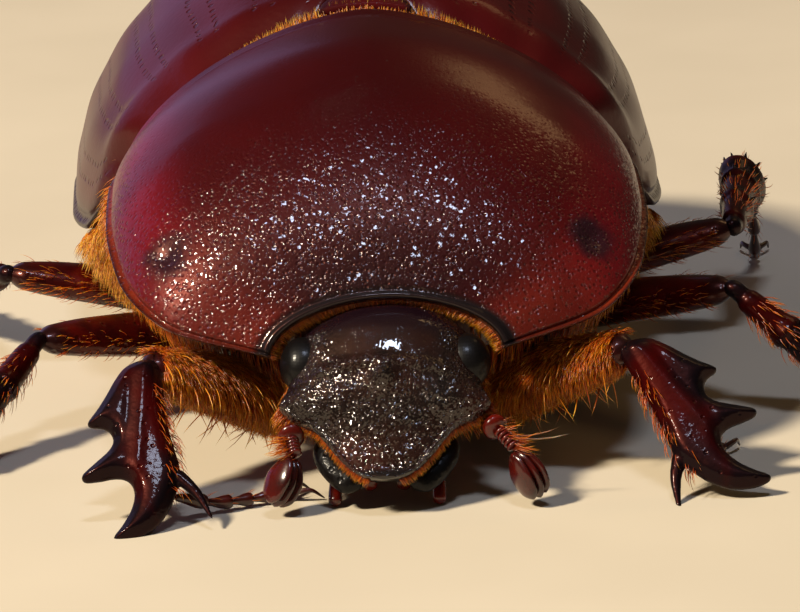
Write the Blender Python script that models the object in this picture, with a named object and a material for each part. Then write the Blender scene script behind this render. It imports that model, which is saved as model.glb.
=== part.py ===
"""A female rhinoceros beetle, life size, standing with its head low and its legs spread.

The body frame: X to the beetle's left, Y to its rear, Z up from the floor, with Y = 0 at
the middle of the pronotum's front margin. Sizes are in millimetres until finish() brings
each mesh to metres. Right is the side of negative X.
"""

import math

import bmesh
import bpy
import numpy as np
from mathutils import Vector

MM = 0.001
GAP = 0.08  # between neighbouring plates and segments

# ---- driving sizes of the shell, each row a point (x, y, z) of the left side ----

# The side margin of the pronotum, from its front corner to its rear corner: x, y.
PRONOTUM_SIDE = ((2.15, -0.35), (4.05, 0.35), (4.80, 1.65), (5.02, 3.30), (4.98, 4.90), (4.72, 6.45))
# The pronotum's middle line, from the front margin to the rear margin: y, z.
PRONOTUM_CREST = ((0.00, 3.58), (0.90, 4.90), (2.20, 6.10), (3.60, 6.95), (5.00, 7.42), (6.68, 7.55))
# The level of the pronotum's lower rim along the body: y, z.
PRONOTUM_RIM = ((-0.50, 2.28), (0.50, 2.90), (1.60, 3.36), (3.30, 3.98), (4.80, 4.30), (6.80, 4.45))
RIM_DEPTH = 0.25
FRONT_RECESS = 1.40  # how far the neck opening goes in under the front margin
REAR_RECESS = 0.35

# The outer edge of the left wing case, from its shoulder round to its tip.
ELYTRON_EDGE = (
    (4.90, 6.95, 4.35),
    (5.60, 8.60, 2.95),
    (5.88, 10.80, 2.70),
    (5.90, 13.20, 2.70),
    (5.45, 15.40, 2.85),
    (4.10, 17.20, 3.30),
    (2.10, 18.15, 3.90),
    (0.40, 18.40, 4.45),
)
# The left wing case along the suture, from beside the scutellum to the tip.
ELYTRON_SUTURE = (
    (0.98, 6.85, 7.55),
    (0.06, 8.20, 8.05),
    (0.06, 10.00, 8.42),
    (0.06, 12.00, 8.55),
    (0.06, 14.00, 8.28),
    (0.06, 16.00, 7.40),
    (0.06, 17.55, 6.05),
    (0.06, 18.40, 4.85),
)
ELYTRON_THICKNESS = 0.45
TRUNK_ARCH = 1.05  # above 1 flattens a cross curve, below 1 squares its shoulders
PRONOTUM_ARCHES = (1.05, 1.26)  # at the front margin and at the rear margin

# The keel of the underside along the body: y, z.
KEEL = ((0.50, 1.60), (2.00, 1.30), (4.00, 1.10), (6.00, 0.85), (8.50, 0.50), (11.0, 0.45), (14.0, 0.65),
        (17.5, 1.75))
THORAX_START = 0.05
THORAX_END = 0.36  # share of the wing cases' length that lies over the hind thorax
ABDOMEN_END = 0.74
SEGMENT_CUT = 0.01
WAIST_SHARE = 0.88  # size of the waist beside the thorax behind it
WAIST_LENGTH = 0.58

PYGIDIUM_FRONT = 17.25
PYGIDIUM_DEPTH = 1.35
PYGIDIUM_MIDDLE = 2.75
PYGIDIUM_HALF_WIDTH = 3.30
PYGIDIUM_RISE = 1.50
PYGIDIUM_DROP = 1.15

SCUTELLUM_SIDE = ((0.87, 6.86), (0.68, 7.17), (0.40, 7.50), (0.07, 7.90))
SCUTELLUM_TOP = 7.70
SCUTELLUM_DEPTH = 0.40

# ---- head, in its own frame: y runs back from the neck, z out of the face ----

HEAD_PIVOT = (0.0, 0.15, 3.25)
HEAD_TILT = math.radians(50)
HEAD_TURN = math.radians(-4)
# Distance from the neck, half width, level of the side edge, crest, underside.
HEAD_STATIONS = (
    (-0.30, 0.90, -0.65, -0.12, -1.00),
    (0.05, 1.30, -0.50, 0.28, -1.25),
    (0.55, 1.62, -0.35, 0.55, -1.45),
    (1.10, 1.70, -0.25, 0.60, -1.45),
    (1.50, 1.80, -0.18, 0.58, -1.30),
    (1.80, 1.93, -0.14, 0.52, -1.10),
    (2.05, 1.74, -0.12, 0.44, -0.85),
    (2.28, 1.31, -0.10, 0.36, -0.60),
    (2.52, 1.11, -0.05, 0.27, -0.40),
    (2.82, 0.90, 0.00, 0.19, -0.28),
    (3.09, 0.67, 0.04, 0.15, -0.20),
    (3.27, 0.45, 0.08, 0.17, -0.14),
    (3.37, 0.27, 0.12, 0.22, -0.06),
)
TUBERCLE = (0.0, -1.50, 0.42)
TUBERCLE_RADIUS = 0.30
EYE_CENTRE = (1.50, -0.92, -0.22)
EYE_RADII = (0.42, 0.46, 0.42)
EYE_CLEARANCE = 0.06
EYE_SIDES = (12, 6)

# ---- mouth parts, in the head's frame, left side ----

MANDIBLE_PATH = ((1.10, -2.20, -0.66), (1.04, -2.62, -0.54), (0.80, -3.00, -0.48), (0.44, -3.27, -0.44))
MANDIBLE = ((0.0, 0.16, 0.16), (0.2, 0.26, 0.20), (0.5, 0.29, 0.20), (0.8, 0.27, 0.20), (1.0, 0.14, 0.12))
MAXILLARY_PATH = ((0.72, -1.95, -1.32), (0.90, -2.40, -1.22), (0.95, -2.90, -0.98), (0.95, -3.42, -0.76))
MAXILLARY_PALP = ((0.0, 0.16, 0.16), (0.3, 0.22, 0.22), (0.55, 0.17, 0.17), (0.8, 0.23, 0.23), (1.0, 0.12, 0.12))
LABIAL_PATH = ((0.28, -2.66, -0.98), (0.32, -2.90, -0.90), (0.30, -3.12, -0.80))
LABIAL_PALP = ((0.0, 0.12, 0.12), (0.5, 0.20, 0.20), (1.0, 0.12, 0.12))
CHIN_PATH = ((0.0, -1.75, -1.52), (0.0, -2.15, -1.24), (0.0, -2.52, -1.04))
CHIN = ((0.0, 0.40, 0.12), (0.5, 0.55, 0.25), (1.0, 0.42, 0.18))

# ---- feelers, in the body frame: root, elbow and end of the shaft, then the tip of the club ----

ANTENNAE = {
    "right": ((-1.80, -0.82, 1.30), (-1.80, -1.28, 1.34), (-1.75, -1.55, 1.12), (-2.18, -1.80, 0.20)),
    "left": ((1.74, -0.88, 1.38), (1.96, -1.33, 1.36), (2.22, -1.60, 1.10), (2.68, -1.80, 0.16)),
}
ANTENNA_SHAFT = ((0.0, 0.16, 0.16), (0.25, 0.26, 0.26), (0.7, 0.24, 0.24), (1.0, 0.16, 0.16))
ANTENNA_CLUB = ((0.0, 0.14, 0.12), (0.2, 0.30, 0.27), (0.55, 0.37, 0.32), (0.85, 0.30, 0.26), (1.0, 0.14, 0.12))
CLUB_NECK = 0.10  # share of the way from shaft to tip that is left free

# ---- legs: hip, knee and ankle of each, and the way the foot lies on the floor ----

LEGS = {
    "front_right": {
        "hip": (-1.75, 1.95, 1.00),
        "knee": (-4.42, -0.05, 2.52),
        "ankle": (-4.38, -2.00, 0.62),
        "foot": ((-3.68, -1.60, 0.46), (-3.10, -1.28, 0.28), (-2.45, -0.95, 0.235), (-1.80, -0.68, 0.235)),
        "outward": (-1.0, 0.10, 0.10),
    },
    "front_left": {
        "hip": (1.75, 1.95, 1.00),
        "knee": (4.50, 0.10, 2.45),
        "ankle": (5.88, -1.45, 0.55),
        "foot": ((5.72, -0.92, 0.42), (5.85, -0.37, 0.235), (6.05, 0.28, 0.235), (6.20, 1.03, 0.235)),
        "outward": (1.0, 0.15, 0.10),
    },
    "middle_right": {
        "hip": (-2.15, 7.75, 0.92),
        "knee": (-6.50, 4.00, 1.95),
        "ankle": (-8.10, 1.80, 0.50),
        "foot": ((-8.30, 1.50, 0.32), (-8.70, 0.85, 0.235), (-9.15, 0.15, 0.235), (-9.50, -0.65, 0.235)),
        "outward": (-0.80, 0.0, 0.60),
    },
    "middle_left": {
        "hip": (2.15, 7.75, 0.92),
        "knee": (6.75, 4.00, 2.40),
        "ankle": (9.05, 3.20, 0.50),
        "foot": ((9.38, 3.08, 0.32), (10.0, 2.85, 0.235), (10.75, 2.50, 0.235), (11.40, 2.00, 0.235)),
        "outward": (0.60, 0.0, 0.80),
    },
    "hind_right": {
        "hip": (-2.45, 10.10, 0.80),
        "knee": (-7.25, 9.35, 1.90),
        "ankle": (-8.75, 12.60, 0.62),
        "foot": ((-8.94, 13.05, 0.32), (-9.15, 13.70, 0.235), (-9.35, 14.60, 0.235), (-9.45, 15.60, 0.235)),
        "outward": (-0.85, -0.25, 0.45),
    },
    "hind_left": {
        "hip": (2.45, 10.10, 0.80),
        "knee": (7.25, 9.30, 2.25),
        "ankle": (7.80, 12.90, 2.30),
        "foot": ((8.08, 13.60, 1.76), (8.13, 14.08, 1.08), (8.20, 14.75, 0.36), (8.28, 15.60, 0.235)),
        "outward": (0.90, -0.20, 0.40),
    },
}
# Share of the length, half width, half thickness.
COXA = ((0.0, 0.25, 0.18), (0.2, 0.50, 0.30), (0.7, 0.55, 0.32), (1.0, 0.28, 0.20))
FEMUR = ((0.0, 0.26, 0.24), (0.12, 0.42, 0.32), (0.45, 0.58, 0.38), (0.75, 0.52, 0.34), (0.93, 0.38, 0.28),
         (1.0, 0.22, 0.16))
FRONT_TIBIA = ((0.0, 0.20, 0.18), (0.10, 0.30, 0.26), (0.40, 0.42, 0.29), (0.75, 0.56, 0.30),
               (0.95, 0.56, 0.26), (1.0, 0.42, 0.18))
# The teeth of a front shin: share of its length, reach outward, reach forward, root radius.
FRONT_TEETH = ((0.28, 0.98, 0.38, 0.36), (0.68, 1.10, 0.30, 0.36), (0.98, 0.60, 0.92, 0.34))
BACK_TIBIA = ((0.0, 0.22, 0.20), (0.08, 0.30, 0.26), (0.30, 0.36, 0.29), (0.38, 0.46, 0.35), (0.42, 0.39, 0.30),
              (0.68, 0.44, 0.34), (0.75, 0.56, 0.41), (0.79, 0.48, 0.36), (1.0, 0.64, 0.46))
TARSUS_SEGMENTS = 5
TARSUS_NECK = 0.19
TARSUS_KNOB = 0.27
CLAW_LENGTH = 0.62

HORN_SIDES = 6
PALP_SIDES = 8
LIMB_SIDES = 8
BLADE_SIDES = 12

# Each kind of cuticle: linear colour, roughness.
CUTICLES = {
    "pronotum": ((0.075, 0.006, 0.007), 0.25),
    "elytron": ((0.060, 0.006, 0.008), 0.25),
    "prosternum": ((0.100, 0.022, 0.008), 0.50),
    "thorax": ((0.060, 0.016, 0.008), 0.45),
    "abdomen": ((0.075, 0.010, 0.006), 0.35),
    "head": ((0.018, 0.008, 0.007), 0.35),
    "eye": ((0.010, 0.008, 0.008), 0.12),
    "horn": ((0.006, 0.005, 0.005), 0.25),
    "palp": ((0.160, 0.012, 0.004), 0.25),
    "chin": ((0.050, 0.010, 0.006), 0.35),
    "shaft": ((0.090, 0.012, 0.006), 0.30),
    "club": ((0.070, 0.006, 0.005), 0.20),
    "leg": ((0.042, 0.004, 0.003), 0.20),
}


# ---- curves ----

def hermite(knots, values, at):
    """The value at `at` of a smooth curve through values[i] at knots[i], which doesn't overshoot."""
    knots = np.asarray(knots, float)
    values = np.asarray(values, float)
    at = min(max(at, knots[0]), knots[-1])
    i = min(int(np.searchsorted(knots, at, side="right")) - 1, len(knots) - 2)
    steps = np.diff(knots)
    slopes = (np.diff(values, axis=0).T / steps).T

    def tangent(k):
        if k == 0 or k == len(knots) - 1:
            return slopes[0 if k == 0 else -1]
        before, after = slopes[k - 1], slopes[k]
        steady = before * after > 0
        total = np.where(steady, before + after, 1.0)
        return np.where(steady, 2.0 * before * after / total, 0.0)

    h = steps[i]
    s = (at - knots[i]) / h
    return (
        values[i] * (2 * s**3 - 3 * s**2 + 1)
        + values[i + 1] * (3 * s**2 - 2 * s**3)
        + tangent(i) * h * (s**3 - 2 * s**2 + s)
        + tangent(i + 1) * h * (s**3 - s**2)
    )


def profile(rows, at):
    """Reads a row of (place, size...) stations as a smooth function of the place."""
    rows = np.asarray(rows, float)
    values = hermite(rows[:, 0], rows[:, 1:], at)
    return values[0] if len(values) == 1 else values


def route(points, share):
    """The point at a share, 0 to 1, of the way along a smooth curve through the points."""
    knots = np.linspace(0.0, 1.0, len(points))
    return hermite(knots, points, share)


def steps_of(count, start=0.0, end=1.0):
    return np.linspace(start, end, count)


# ---- solids ----

def finish(name, bm, look, parent):
    """Makes the object of a modelled solid, in metres; a helper solid has no look."""
    bmesh.ops.recalc_face_normals(bm, faces=bm.faces)
    bmesh.ops.scale(bm, vec=(MM, MM, MM), verts=bm.verts)
    mesh = bpy.data.meshes.new(name)
    bm.to_mesh(mesh)
    bm.free()
    mesh.shade_smooth()
    mesh.set_sharp_from_angle(angle=math.radians(40))
    made = bpy.data.objects.new(name, mesh)
    bpy.context.scene.collection.objects.link(made)
    made.parent = parent
    if look:
        mesh.materials.append(cuticle(name, *CUTICLES[look]))
    else:
        made.hide_render = True
        made.display_type = "WIRE"
    return made


def cuticle(name, colour, roughness):
    """The hard shell of one sub-part, in its own colour."""
    made = bpy.data.materials.new(name)
    made.use_nodes = True
    shader = made.node_tree.nodes["Principled BSDF"]
    shader.inputs["Base Color"].default_value = (*colour, 1.0)
    shader.inputs["Roughness"].default_value = roughness
    shader.inputs["Metallic"].default_value = 0.0
    return made


def combine(base, helper, operation):
    """Joins a helper solid to the base, or cuts it out."""
    modifier = base.modifiers.new(operation.lower(), "BOOLEAN")
    modifier.operation = operation
    modifier.solver = "EXACT"
    modifier.object = helper


def skin_rings(bm, rings):
    """A closed solid over a row of rings of equal count, with both ends filled."""
    loops = [[bm.verts.new(point) for point in ring] for ring in rings]
    for here, there in zip(loops, loops[1:]):
        for k in range(len(here)):
            after = (k + 1) % len(here)
            bm.faces.new((here[k], here[after], there[after], there[k]))
    bm.faces.new(loops[0])
    bm.faces.new(loops[-1])


def solid_of_rings(rings):
    bm = bmesh.new()
    skin_rings(bm, rings)
    return bm


def solid_of_sheets(outer, inner):
    """A closed solid between two sheets, grids of points with the same rows and columns."""
    bm = bmesh.new()
    sheets = [[[bm.verts.new(point) for point in row] for row in sheet] for sheet in (outer, inner)]
    rows, columns = len(outer), len(outer[0])
    for sheet in sheets:
        for i in range(rows - 1):
            for j in range(columns - 1):
                bm.faces.new((sheet[i][j], sheet[i][j + 1], sheet[i + 1][j + 1], sheet[i + 1][j]))
    border = [(0, j) for j in range(columns)] + [(i, columns - 1) for i in range(1, rows)]
    border += [(rows - 1, j) for j in range(columns - 2, -1, -1)] + [(i, 0) for i in range(rows - 2, 0, -1)]
    for (i, j), (k, m) in zip(border, border[1:] + border[:1]):
        bm.faces.new((sheets[0][i][j], sheets[0][k][m], sheets[1][k][m], sheets[1][i][j]))
    return bm


def limb_rings(path, stations, across, sides):
    """Oval rings along a path: each station is (share, half width, half thickness)."""
    rings = []
    for share, half_width, half_thickness in stations:
        centre = Vector(route(path, share))
        ahead = Vector(route(path, min(share + 0.02, 1.0))) - Vector(route(path, max(share - 0.02, 0.0)))
        ahead.normalize()
        wide = Vector(across) - ahead * ahead.dot(Vector(across))
        wide.normalize()
        thick = ahead.cross(wide)
        ring = []
        for k in range(sides):
            turn = 2.0 * math.pi * (k + 0.5) / sides
            ring.append(centre + wide * half_width * math.cos(turn) + thick * half_thickness * math.sin(turn))
        rings.append(ring)
    return rings


def horn_rings(root, middle, tip, root_radius, tip_radius, across, flatness=1.0):
    """A tooth, spur or claw: a curved cone with a blunt tip."""
    stations = []
    for share in (0.0, 0.4, 0.85, 1.0):
        radius = root_radius + (tip_radius - root_radius) * share
        if share == 1.0:
            radius = tip_radius * 0.6
        stations.append((share, radius, radius * flatness))
    return limb_rings((root, middle, tip), stations, across, HORN_SIDES)


def stand_on_floor(bm):
    """Cuts a flat at floor level where a foot would go below it."""
    everything = list(bm.verts) + list(bm.edges) + list(bm.faces)
    cut = bmesh.ops.bisect_plane(
        bm, geom=everything, dist=1e-5, plane_co=(0, 0, 0), plane_no=(0, 0, -1), clear_outer=True
    )
    rim = [item for item in cut["geom_cut"] if isinstance(item, bmesh.types.BMEdge)]
    if rim:
        bmesh.ops.holes_fill(bm, edges=rim, sides=0)


def mirrored(point):
    return (-point[0], point[1], point[2])


# ---- the shell ----

def arch(edge, crest, turn, power):
    """A point of a cross curve that runs from the crest (turn 0) down to the edge (turn 1)."""
    angle = turn * math.pi / 2
    out = math.sin(angle) ** power
    up = math.cos(angle) ** power if turn < 1 else 0.0
    x = crest[0] + (edge[0] - crest[0]) * out
    y = edge[1] + (crest[1] - edge[1]) * math.cos(angle)
    z = edge[2] + (crest[2] - edge[2]) * up
    return Vector((x, y, z))


def pronotum_sheets(rows, columns):
    outer, inner = [], []
    for share in steps_of(rows):
        side = route(PRONOTUM_SIDE, share)
        crest_y, crest_z = route(PRONOTUM_CREST, share)
        edge = (side[0], side[1], profile(PRONOTUM_RIM, side[1]) + RIM_DEPTH)
        crest = (0.0, crest_y, crest_z)
        power = PRONOTUM_ARCHES[0] + (PRONOTUM_ARCHES[1] - PRONOTUM_ARCHES[0]) * share
        outer_row, inner_row = [], []
        for across in steps_of(columns, -1.0, 1.0):
            point = arch(edge, crest, abs(across), power)
            middle = math.cos(across * math.pi / 2)
            back = FRONT_RECESS * (1 - share) ** 3 - REAR_RECESS * share**6
            y = point.y + back * middle
            under = Vector((point.x * 0.98, y, profile(PRONOTUM_RIM, y)))
            if across < 0:
                point.x, under.x = -point.x, -under.x
            outer_row.append(point)
            inner_row.append(under)
        outer.append(outer_row)
        inner.append(inner_row)
    return outer, inner


def make_pronotum(body):
    outer, inner = pronotum_sheets(12, 17)
    return finish("pronotum", solid_of_sheets(outer, inner), "pronotum", body)


def make_prosternum(body):
    """The underside of the front thorax, below the pronotum's rim."""
    rings = []
    for y, half_width in ((1.50, 2.40), (1.80, 3.30), (2.50, 4.10), (3.70, 4.50), (5.10, 4.45), (6.62, 4.05)):
        top = profile(PRONOTUM_RIM, y) - GAP
        keel = profile(KEEL, y)
        rings.append(belly_ring(half_width, y, top, top, keel, 7))
    return finish("prosternum", solid_of_rings(rings), "prosternum", body)


def belly_ring(half_width, y, top_side, top_middle, keel, half_count):
    """A ring with a flat or arched back and a rounded belly."""
    ring = []
    for across in steps_of(half_count, -1.0, 1.0):
        arched = top_side + (top_middle - top_side) * math.cos(across * math.pi / 2)
        ring.append((half_width * across, y, arched))
    for across in steps_of(half_count + 2, 1.0, -1.0)[1:-1]:
        deep = max(1.0 - abs(across) ** 2.0, 0.0) ** 0.8
        ring.append((half_width * across, y, top_side - 0.12 - (top_side - 0.12 - keel) * deep))
    return ring


def elytron_sheets(rows, columns, depth, start=0.0, end=1.0):
    """The left wing case's outer surface and the surface `depth` under it."""
    outer, inner = [], []
    nudge = 0.004

    def surface(share, turn):
        return arch(route(ELYTRON_EDGE, share), route(ELYTRON_SUTURE, share), turn, TRUNK_ARCH)

    for share in steps_of(rows, start, end):
        outer_row, inner_row = [], []
        for turn in steps_of(columns):
            here = surface(share, turn)
            along = surface(min(share + nudge, 1), turn) - surface(max(share - nudge, 0), turn)
            around = surface(share, min(turn + nudge, 1)) - surface(share, max(turn - nudge, 0))
            outward = around.cross(along)
            outward.normalize()
            if outward.dot(here - Vector((0, here.y * 0.8 + 2.4, 4.4))) < 0:
                outward = -outward
            under = here - outward * depth
            under.x = max(under.x, ELYTRON_SUTURE[-1][0])
            outer_row.append(here)
            inner_row.append(under)
        outer.append(outer_row)
        inner.append(inner_row)
    return outer, inner


def make_elytra(body):
    outer, inner = elytron_sheets(15, 9, ELYTRON_THICKNESS)
    left = finish("elytron_left", solid_of_sheets(outer, inner), "elytron", body)
    outer = [[mirrored(point) for point in row] for row in outer]
    inner = [[mirrored(point) for point in row] for row in inner]
    return left, finish("elytron_right", solid_of_sheets(outer, inner), "elytron", body)


def trunk_rings(start, end, rows):
    """Rings of the trunk that fill the space under the wing cases, down to the keel."""
    _, under = elytron_sheets(rows, 7, ELYTRON_THICKNESS + GAP, start, end)
    rings = []
    for row in under:
        side = row[-1]
        back = [mirrored(point) for point in reversed(row[1:])] + [tuple(point) for point in row]
        belly = []
        keel = profile(KEEL, side[1])
        for across in steps_of(9, 1.0, -1.0)[1:-1]:
            deep = max(1.0 - abs(across) ** 2.6, 0.0) ** 0.70
            belly.append((side[0] * across, side[1], side[2] - (side[2] - keel) * deep))
        rings.append([Vector(point) for point in back + belly])
    return rings


def waist_ring(ring):
    """A smaller ring in front of the hind thorax, which plugs it into the front thorax."""
    centre = sum(ring, Vector()) / len(ring)
    return [centre + (point - centre) * WAIST_SHARE - Vector((0, WAIST_LENGTH, 0)) for point in ring]


def make_trunk(body):
    rings = trunk_rings(THORAX_START, THORAX_END, 5)
    thorax = solid_of_rings([waist_ring(rings[0])] + rings)
    thorax = finish("hind_thorax", thorax, "thorax", body)
    abdomen = solid_of_rings(trunk_rings(THORAX_END + SEGMENT_CUT, ABDOMEN_END, 7))
    return thorax, finish("abdomen", abdomen, "abdomen", body)


def make_pygidium(body):
    """The convex tail plate under the tips of the wing cases."""
    rings = []
    for angle in (0, 18, 36, 54, 70, 84):
        shrink = math.cos(math.radians(angle))
        y = PYGIDIUM_FRONT + PYGIDIUM_DEPTH * math.sin(math.radians(angle))
        ring = []
        for k in range(16):
            turn = 2 * math.pi * k / 16
            x = PYGIDIUM_HALF_WIDTH * shrink * math.cos(turn)
            lift = math.sin(turn)
            z = PYGIDIUM_MIDDLE + shrink * (PYGIDIUM_RISE * lift**1.4 if lift > 0 else PYGIDIUM_DROP * lift)
            ring.append((x, y, z))
        rings.append(ring)
    finish("pygidium", solid_of_rings(rings), "abdomen", body)


def make_scutellum(body):
    outer, inner = [], []
    for share in steps_of(5):
        x, y = route(SCUTELLUM_SIDE, share)
        outer_row, inner_row = [], []
        for across in steps_of(7, -1.0, 1.0):
            rise = 0.10 * math.cos(across * math.pi / 2) + 0.22 * (y - SCUTELLUM_SIDE[0][1])
            outer_row.append((x * across, y, SCUTELLUM_TOP - 0.10 + rise))
            inner_row.append((x * across * 0.9, y, SCUTELLUM_TOP - 0.10 + rise - SCUTELLUM_DEPTH))
        outer.append(outer_row)
        inner.append(inner_row)
    finish("scutellum", solid_of_sheets(outer, inner), "elytron", body)


# ---- the head and what it carries ----

def head_ring(distance, half_width, edge, crest, under, count=20):
    ring = []
    for k in range(count):
        turn = 2 * math.pi * k / count
        lift = math.sin(turn)
        if lift >= 0:
            x = half_width * math.cos(turn)
            z = edge + (crest - edge) * lift
        else:
            x = half_width * math.cos(turn) * (1 - 0.12 * abs(lift))
            z = edge + (edge - under) * lift
        ring.append((x, -distance, z))
    return ring


def ball(bm, centre, radii, segments=EYE_SIDES[0], rings=EYE_SIDES[1]):
    made = bmesh.ops.create_uvsphere(bm, u_segments=segments, v_segments=rings, radius=1.0)
    bmesh.ops.scale(bm, vec=radii, verts=made["verts"])
    bmesh.ops.translate(bm, vec=centre, verts=made["verts"])


def make_head(pivot):
    head = finish("head", solid_of_rings([head_ring(*row) for row in HEAD_STATIONS]),
                  "head", pivot)
    knob = bmesh.new()
    ball(knob, TUBERCLE, (TUBERCLE_RADIUS,) * 3, 10, 6)
    combine(head, finish("head_tubercle", knob, None, pivot), "UNION")
    sockets = bmesh.new()
    clear = [radius + EYE_CLEARANCE for radius in EYE_RADII]
    for side in (-1, 1):
        ball(sockets, (side * EYE_CENTRE[0], EYE_CENTRE[1], EYE_CENTRE[2]), clear)
    combine(head, finish("eye_sockets", sockets, None, pivot), "DIFFERENCE")


def make_eyes(pivot):
    for side, name in ((1, "left"), (-1, "right")):
        eye = bmesh.new()
        ball(eye, (side * EYE_CENTRE[0], EYE_CENTRE[1], EYE_CENTRE[2]), EYE_RADII)
        finish(f"eye_{name}", eye, "eye", pivot)


def make_mouth(pivot):
    """Jaws beside the clypeus, the chin plate between them, and two pairs of palps."""
    for side, name in ((1, "left"), (-1, "right")):
        for part, path, sizes, across, look in (
            ("mandible", MANDIBLE_PATH, MANDIBLE, (side, -0.6, 0.0), "horn"),
            ("maxillary_palp", MAXILLARY_PATH, MAXILLARY_PALP, (1.0, 0.0, 0.0), "palp"),
            ("labial_palp", LABIAL_PATH, LABIAL_PALP, (1.0, 0.0, 0.0), "palp"),
        ):
            path = [(side * x, y, z) for x, y, z in path]
            finish(f"{part}_{name}", solid_of_rings(limb_rings(path, sizes, across, PALP_SIDES)), look, pivot)
    chin = solid_of_rings(limb_rings(CHIN_PATH, CHIN, (1, 0, 0), BLADE_SIDES))
    finish("chin_plate", chin, "chin", pivot)


def make_antennae(body):
    """Each feeler: an elbowed shaft from under the cheek and a club of three leaves."""
    for name, (root, elbow, end, tip) in ANTENNAE.items():
        shaft = limb_rings((root, elbow, end), ANTENNA_SHAFT, (0, 1, 0), PALP_SIDES)
        finish(f"antenna_{name}", solid_of_rings(shaft), "shaft", body)
        end, tip = Vector(end), Vector(tip)
        start = end + (tip - end) * CLUB_NECK
        club = limb_rings((start, (start + tip) / 2, tip), ANTENNA_CLUB, (1, 0, 0), BLADE_SIDES)
        finish(f"antenna_club_{name}", solid_of_rings(club), "club", body)


# ---- legs ----

def shortened(start, end, cut_start, cut_end):
    """The two ends of a segment, moved in along it."""
    start, end = Vector(start), Vector(end)
    along = (end - start).normalized()
    return start + along * cut_start, end - along * cut_end


def coxa_rings(leg, extra=0.0):
    hip = Vector(leg["hip"])
    side = 1 if hip.x > 0 else -1
    inner = Vector((side * (0.45 - extra), hip.y + 0.15, hip.z + 0.02))
    outer = Vector((hip.x - side * (0.10 - extra), hip.y + 0.02, hip.z))
    stations = [(share, wide + extra, thick + extra) for share, wide, thick in COXA]
    return limb_rings((inner, (inner + outer) / 2, outer), stations, (0, 1, 0), LIMB_SIDES)


def femur_rings(leg, extra=0.0):
    start, end = shortened(leg["hip"], leg["knee"], 0.12, 0.10)
    stations = [(share, wide + extra, thick + extra) for share, wide, thick in FEMUR]
    return limb_rings((start, (start + end) / 2, end), stations, (0, 1, 0.15), LIMB_SIDES)


def cut_leg_sockets(pieces, body):
    """Clears the underside where the hips and thighs lie in it."""
    for name, rings_of in (("hip", coxa_rings), ("thigh", femur_rings)):
        cutter = bmesh.new()
        for leg in LEGS.values():
            skin_rings(cutter, rings_of(leg, GAP))
        helper = finish(f"{name}_clearance", cutter, None, body)
        for piece in pieces:
            combine(piece, helper, "DIFFERENCE")


def make_front_tibia(name, leg, body):
    """The digging shin: a blade with three teeth on its outer edge and a spur inside."""
    start, end = shortened(leg["knee"], leg["ankle"], 0.28, 0.0)
    along = (end - start).normalized()
    out = Vector(leg["outward"]).normalized()
    out = (out - along * out.dot(along)).normalized()
    length = (end - start).length
    blade = solid_of_rings(limb_rings((start, (start + end) / 2, end), FRONT_TIBIA, out, 12))
    tibia = finish(f"tibia_{name}", blade, "leg", body)
    teeth = bmesh.new()
    for share, reach, forward, radius in FRONT_TEETH:
        root = start + along * share * length + out * 0.10
        tip = root + out * reach + along * forward
        middle = (root + tip) / 2 + out * 0.04 - along * 0.06
        skin_rings(teeth, horn_rings(root, middle, tip, radius, 0.07, along, 0.62))
    root = end - out * 0.34 - along * 0.30
    tip = root + along * 0.95 - out * 0.62
    skin_rings(teeth, horn_rings(root, (root + tip) / 2 + out * 0.05, tip, 0.14, 0.05, out, 1.0))
    stand_on_floor(teeth)
    combine(tibia, finish(f"teeth_{name}", teeth, None, body), "UNION")


def make_back_tibia(name, leg, body):
    """A stout shin with two raised spiny ridges and a flared end with two spurs."""
    start, end = shortened(leg["knee"], leg["ankle"], 0.28, 0.0)
    along = (end - start).normalized()
    out = Vector(leg["outward"]).normalized()
    out = (out - along * out.dot(along)).normalized()
    shin = solid_of_rings(limb_rings((start, (start + end) / 2, end), BACK_TIBIA, out.cross(along), LIMB_SIDES))
    tibia = finish(f"tibia_{name}", shin, "leg", body)
    spurs = bmesh.new()
    for spread in (-1, 1):
        root = end - along * 0.25 - out * 0.15 + out.cross(along) * 0.38 * spread
        tip = root + along * 0.95 - out * 0.10 + out.cross(along) * 0.12 * spread
        tip.z = max(tip.z, 0.08)
        skin_rings(spurs, horn_rings(root, (root + tip) / 2, tip, 0.15, 0.06, out, 1.0))
    stand_on_floor(spurs)
    combine(tibia, finish(f"spurs_{name}", spurs, None, body), "UNION")


def make_tarsus(name, leg, body):
    """The five-jointed foot with two claws, lying on the floor."""
    path = leg["foot"]
    stations = []
    for k in range(TARSUS_SEGMENTS):
        length = 1.0 / TARSUS_SEGMENTS
        begin = k * length
        stations.append((begin + 0.02 * length, TARSUS_NECK, TARSUS_NECK))
        stations.append((begin + 0.78 * length, TARSUS_KNOB, TARSUS_KNOB))
    stations.append((1.0, TARSUS_NECK, TARSUS_NECK))
    bm = solid_of_rings(limb_rings(path, stations, (0, 0, 1), PALP_SIDES))
    stand_on_floor(bm)
    tarsus = finish(f"tarsus_{name}", bm, "leg", body)
    claws = bmesh.new()
    end = Vector(path[-1])
    along = (end - Vector(path[-2])).normalized()
    aside = along.cross(Vector((0, 0, 1)))
    for spread in (-1, 1):
        root = end - along * 0.12 + aside * 0.06 * spread
        tip = end + along * CLAW_LENGTH * 0.8 + aside * 0.42 * spread
        tip.z = 0.045
        middle = (root + tip) / 2 + aside * 0.12 * spread
        middle.z = 0.24
        skin_rings(claws, horn_rings(root, middle, tip, 0.10, 0.05, (0, 0, 1), 1.0))
    stand_on_floor(claws)
    combine(tarsus, finish(f"claws_{name}", claws, None, body), "UNION")


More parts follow.
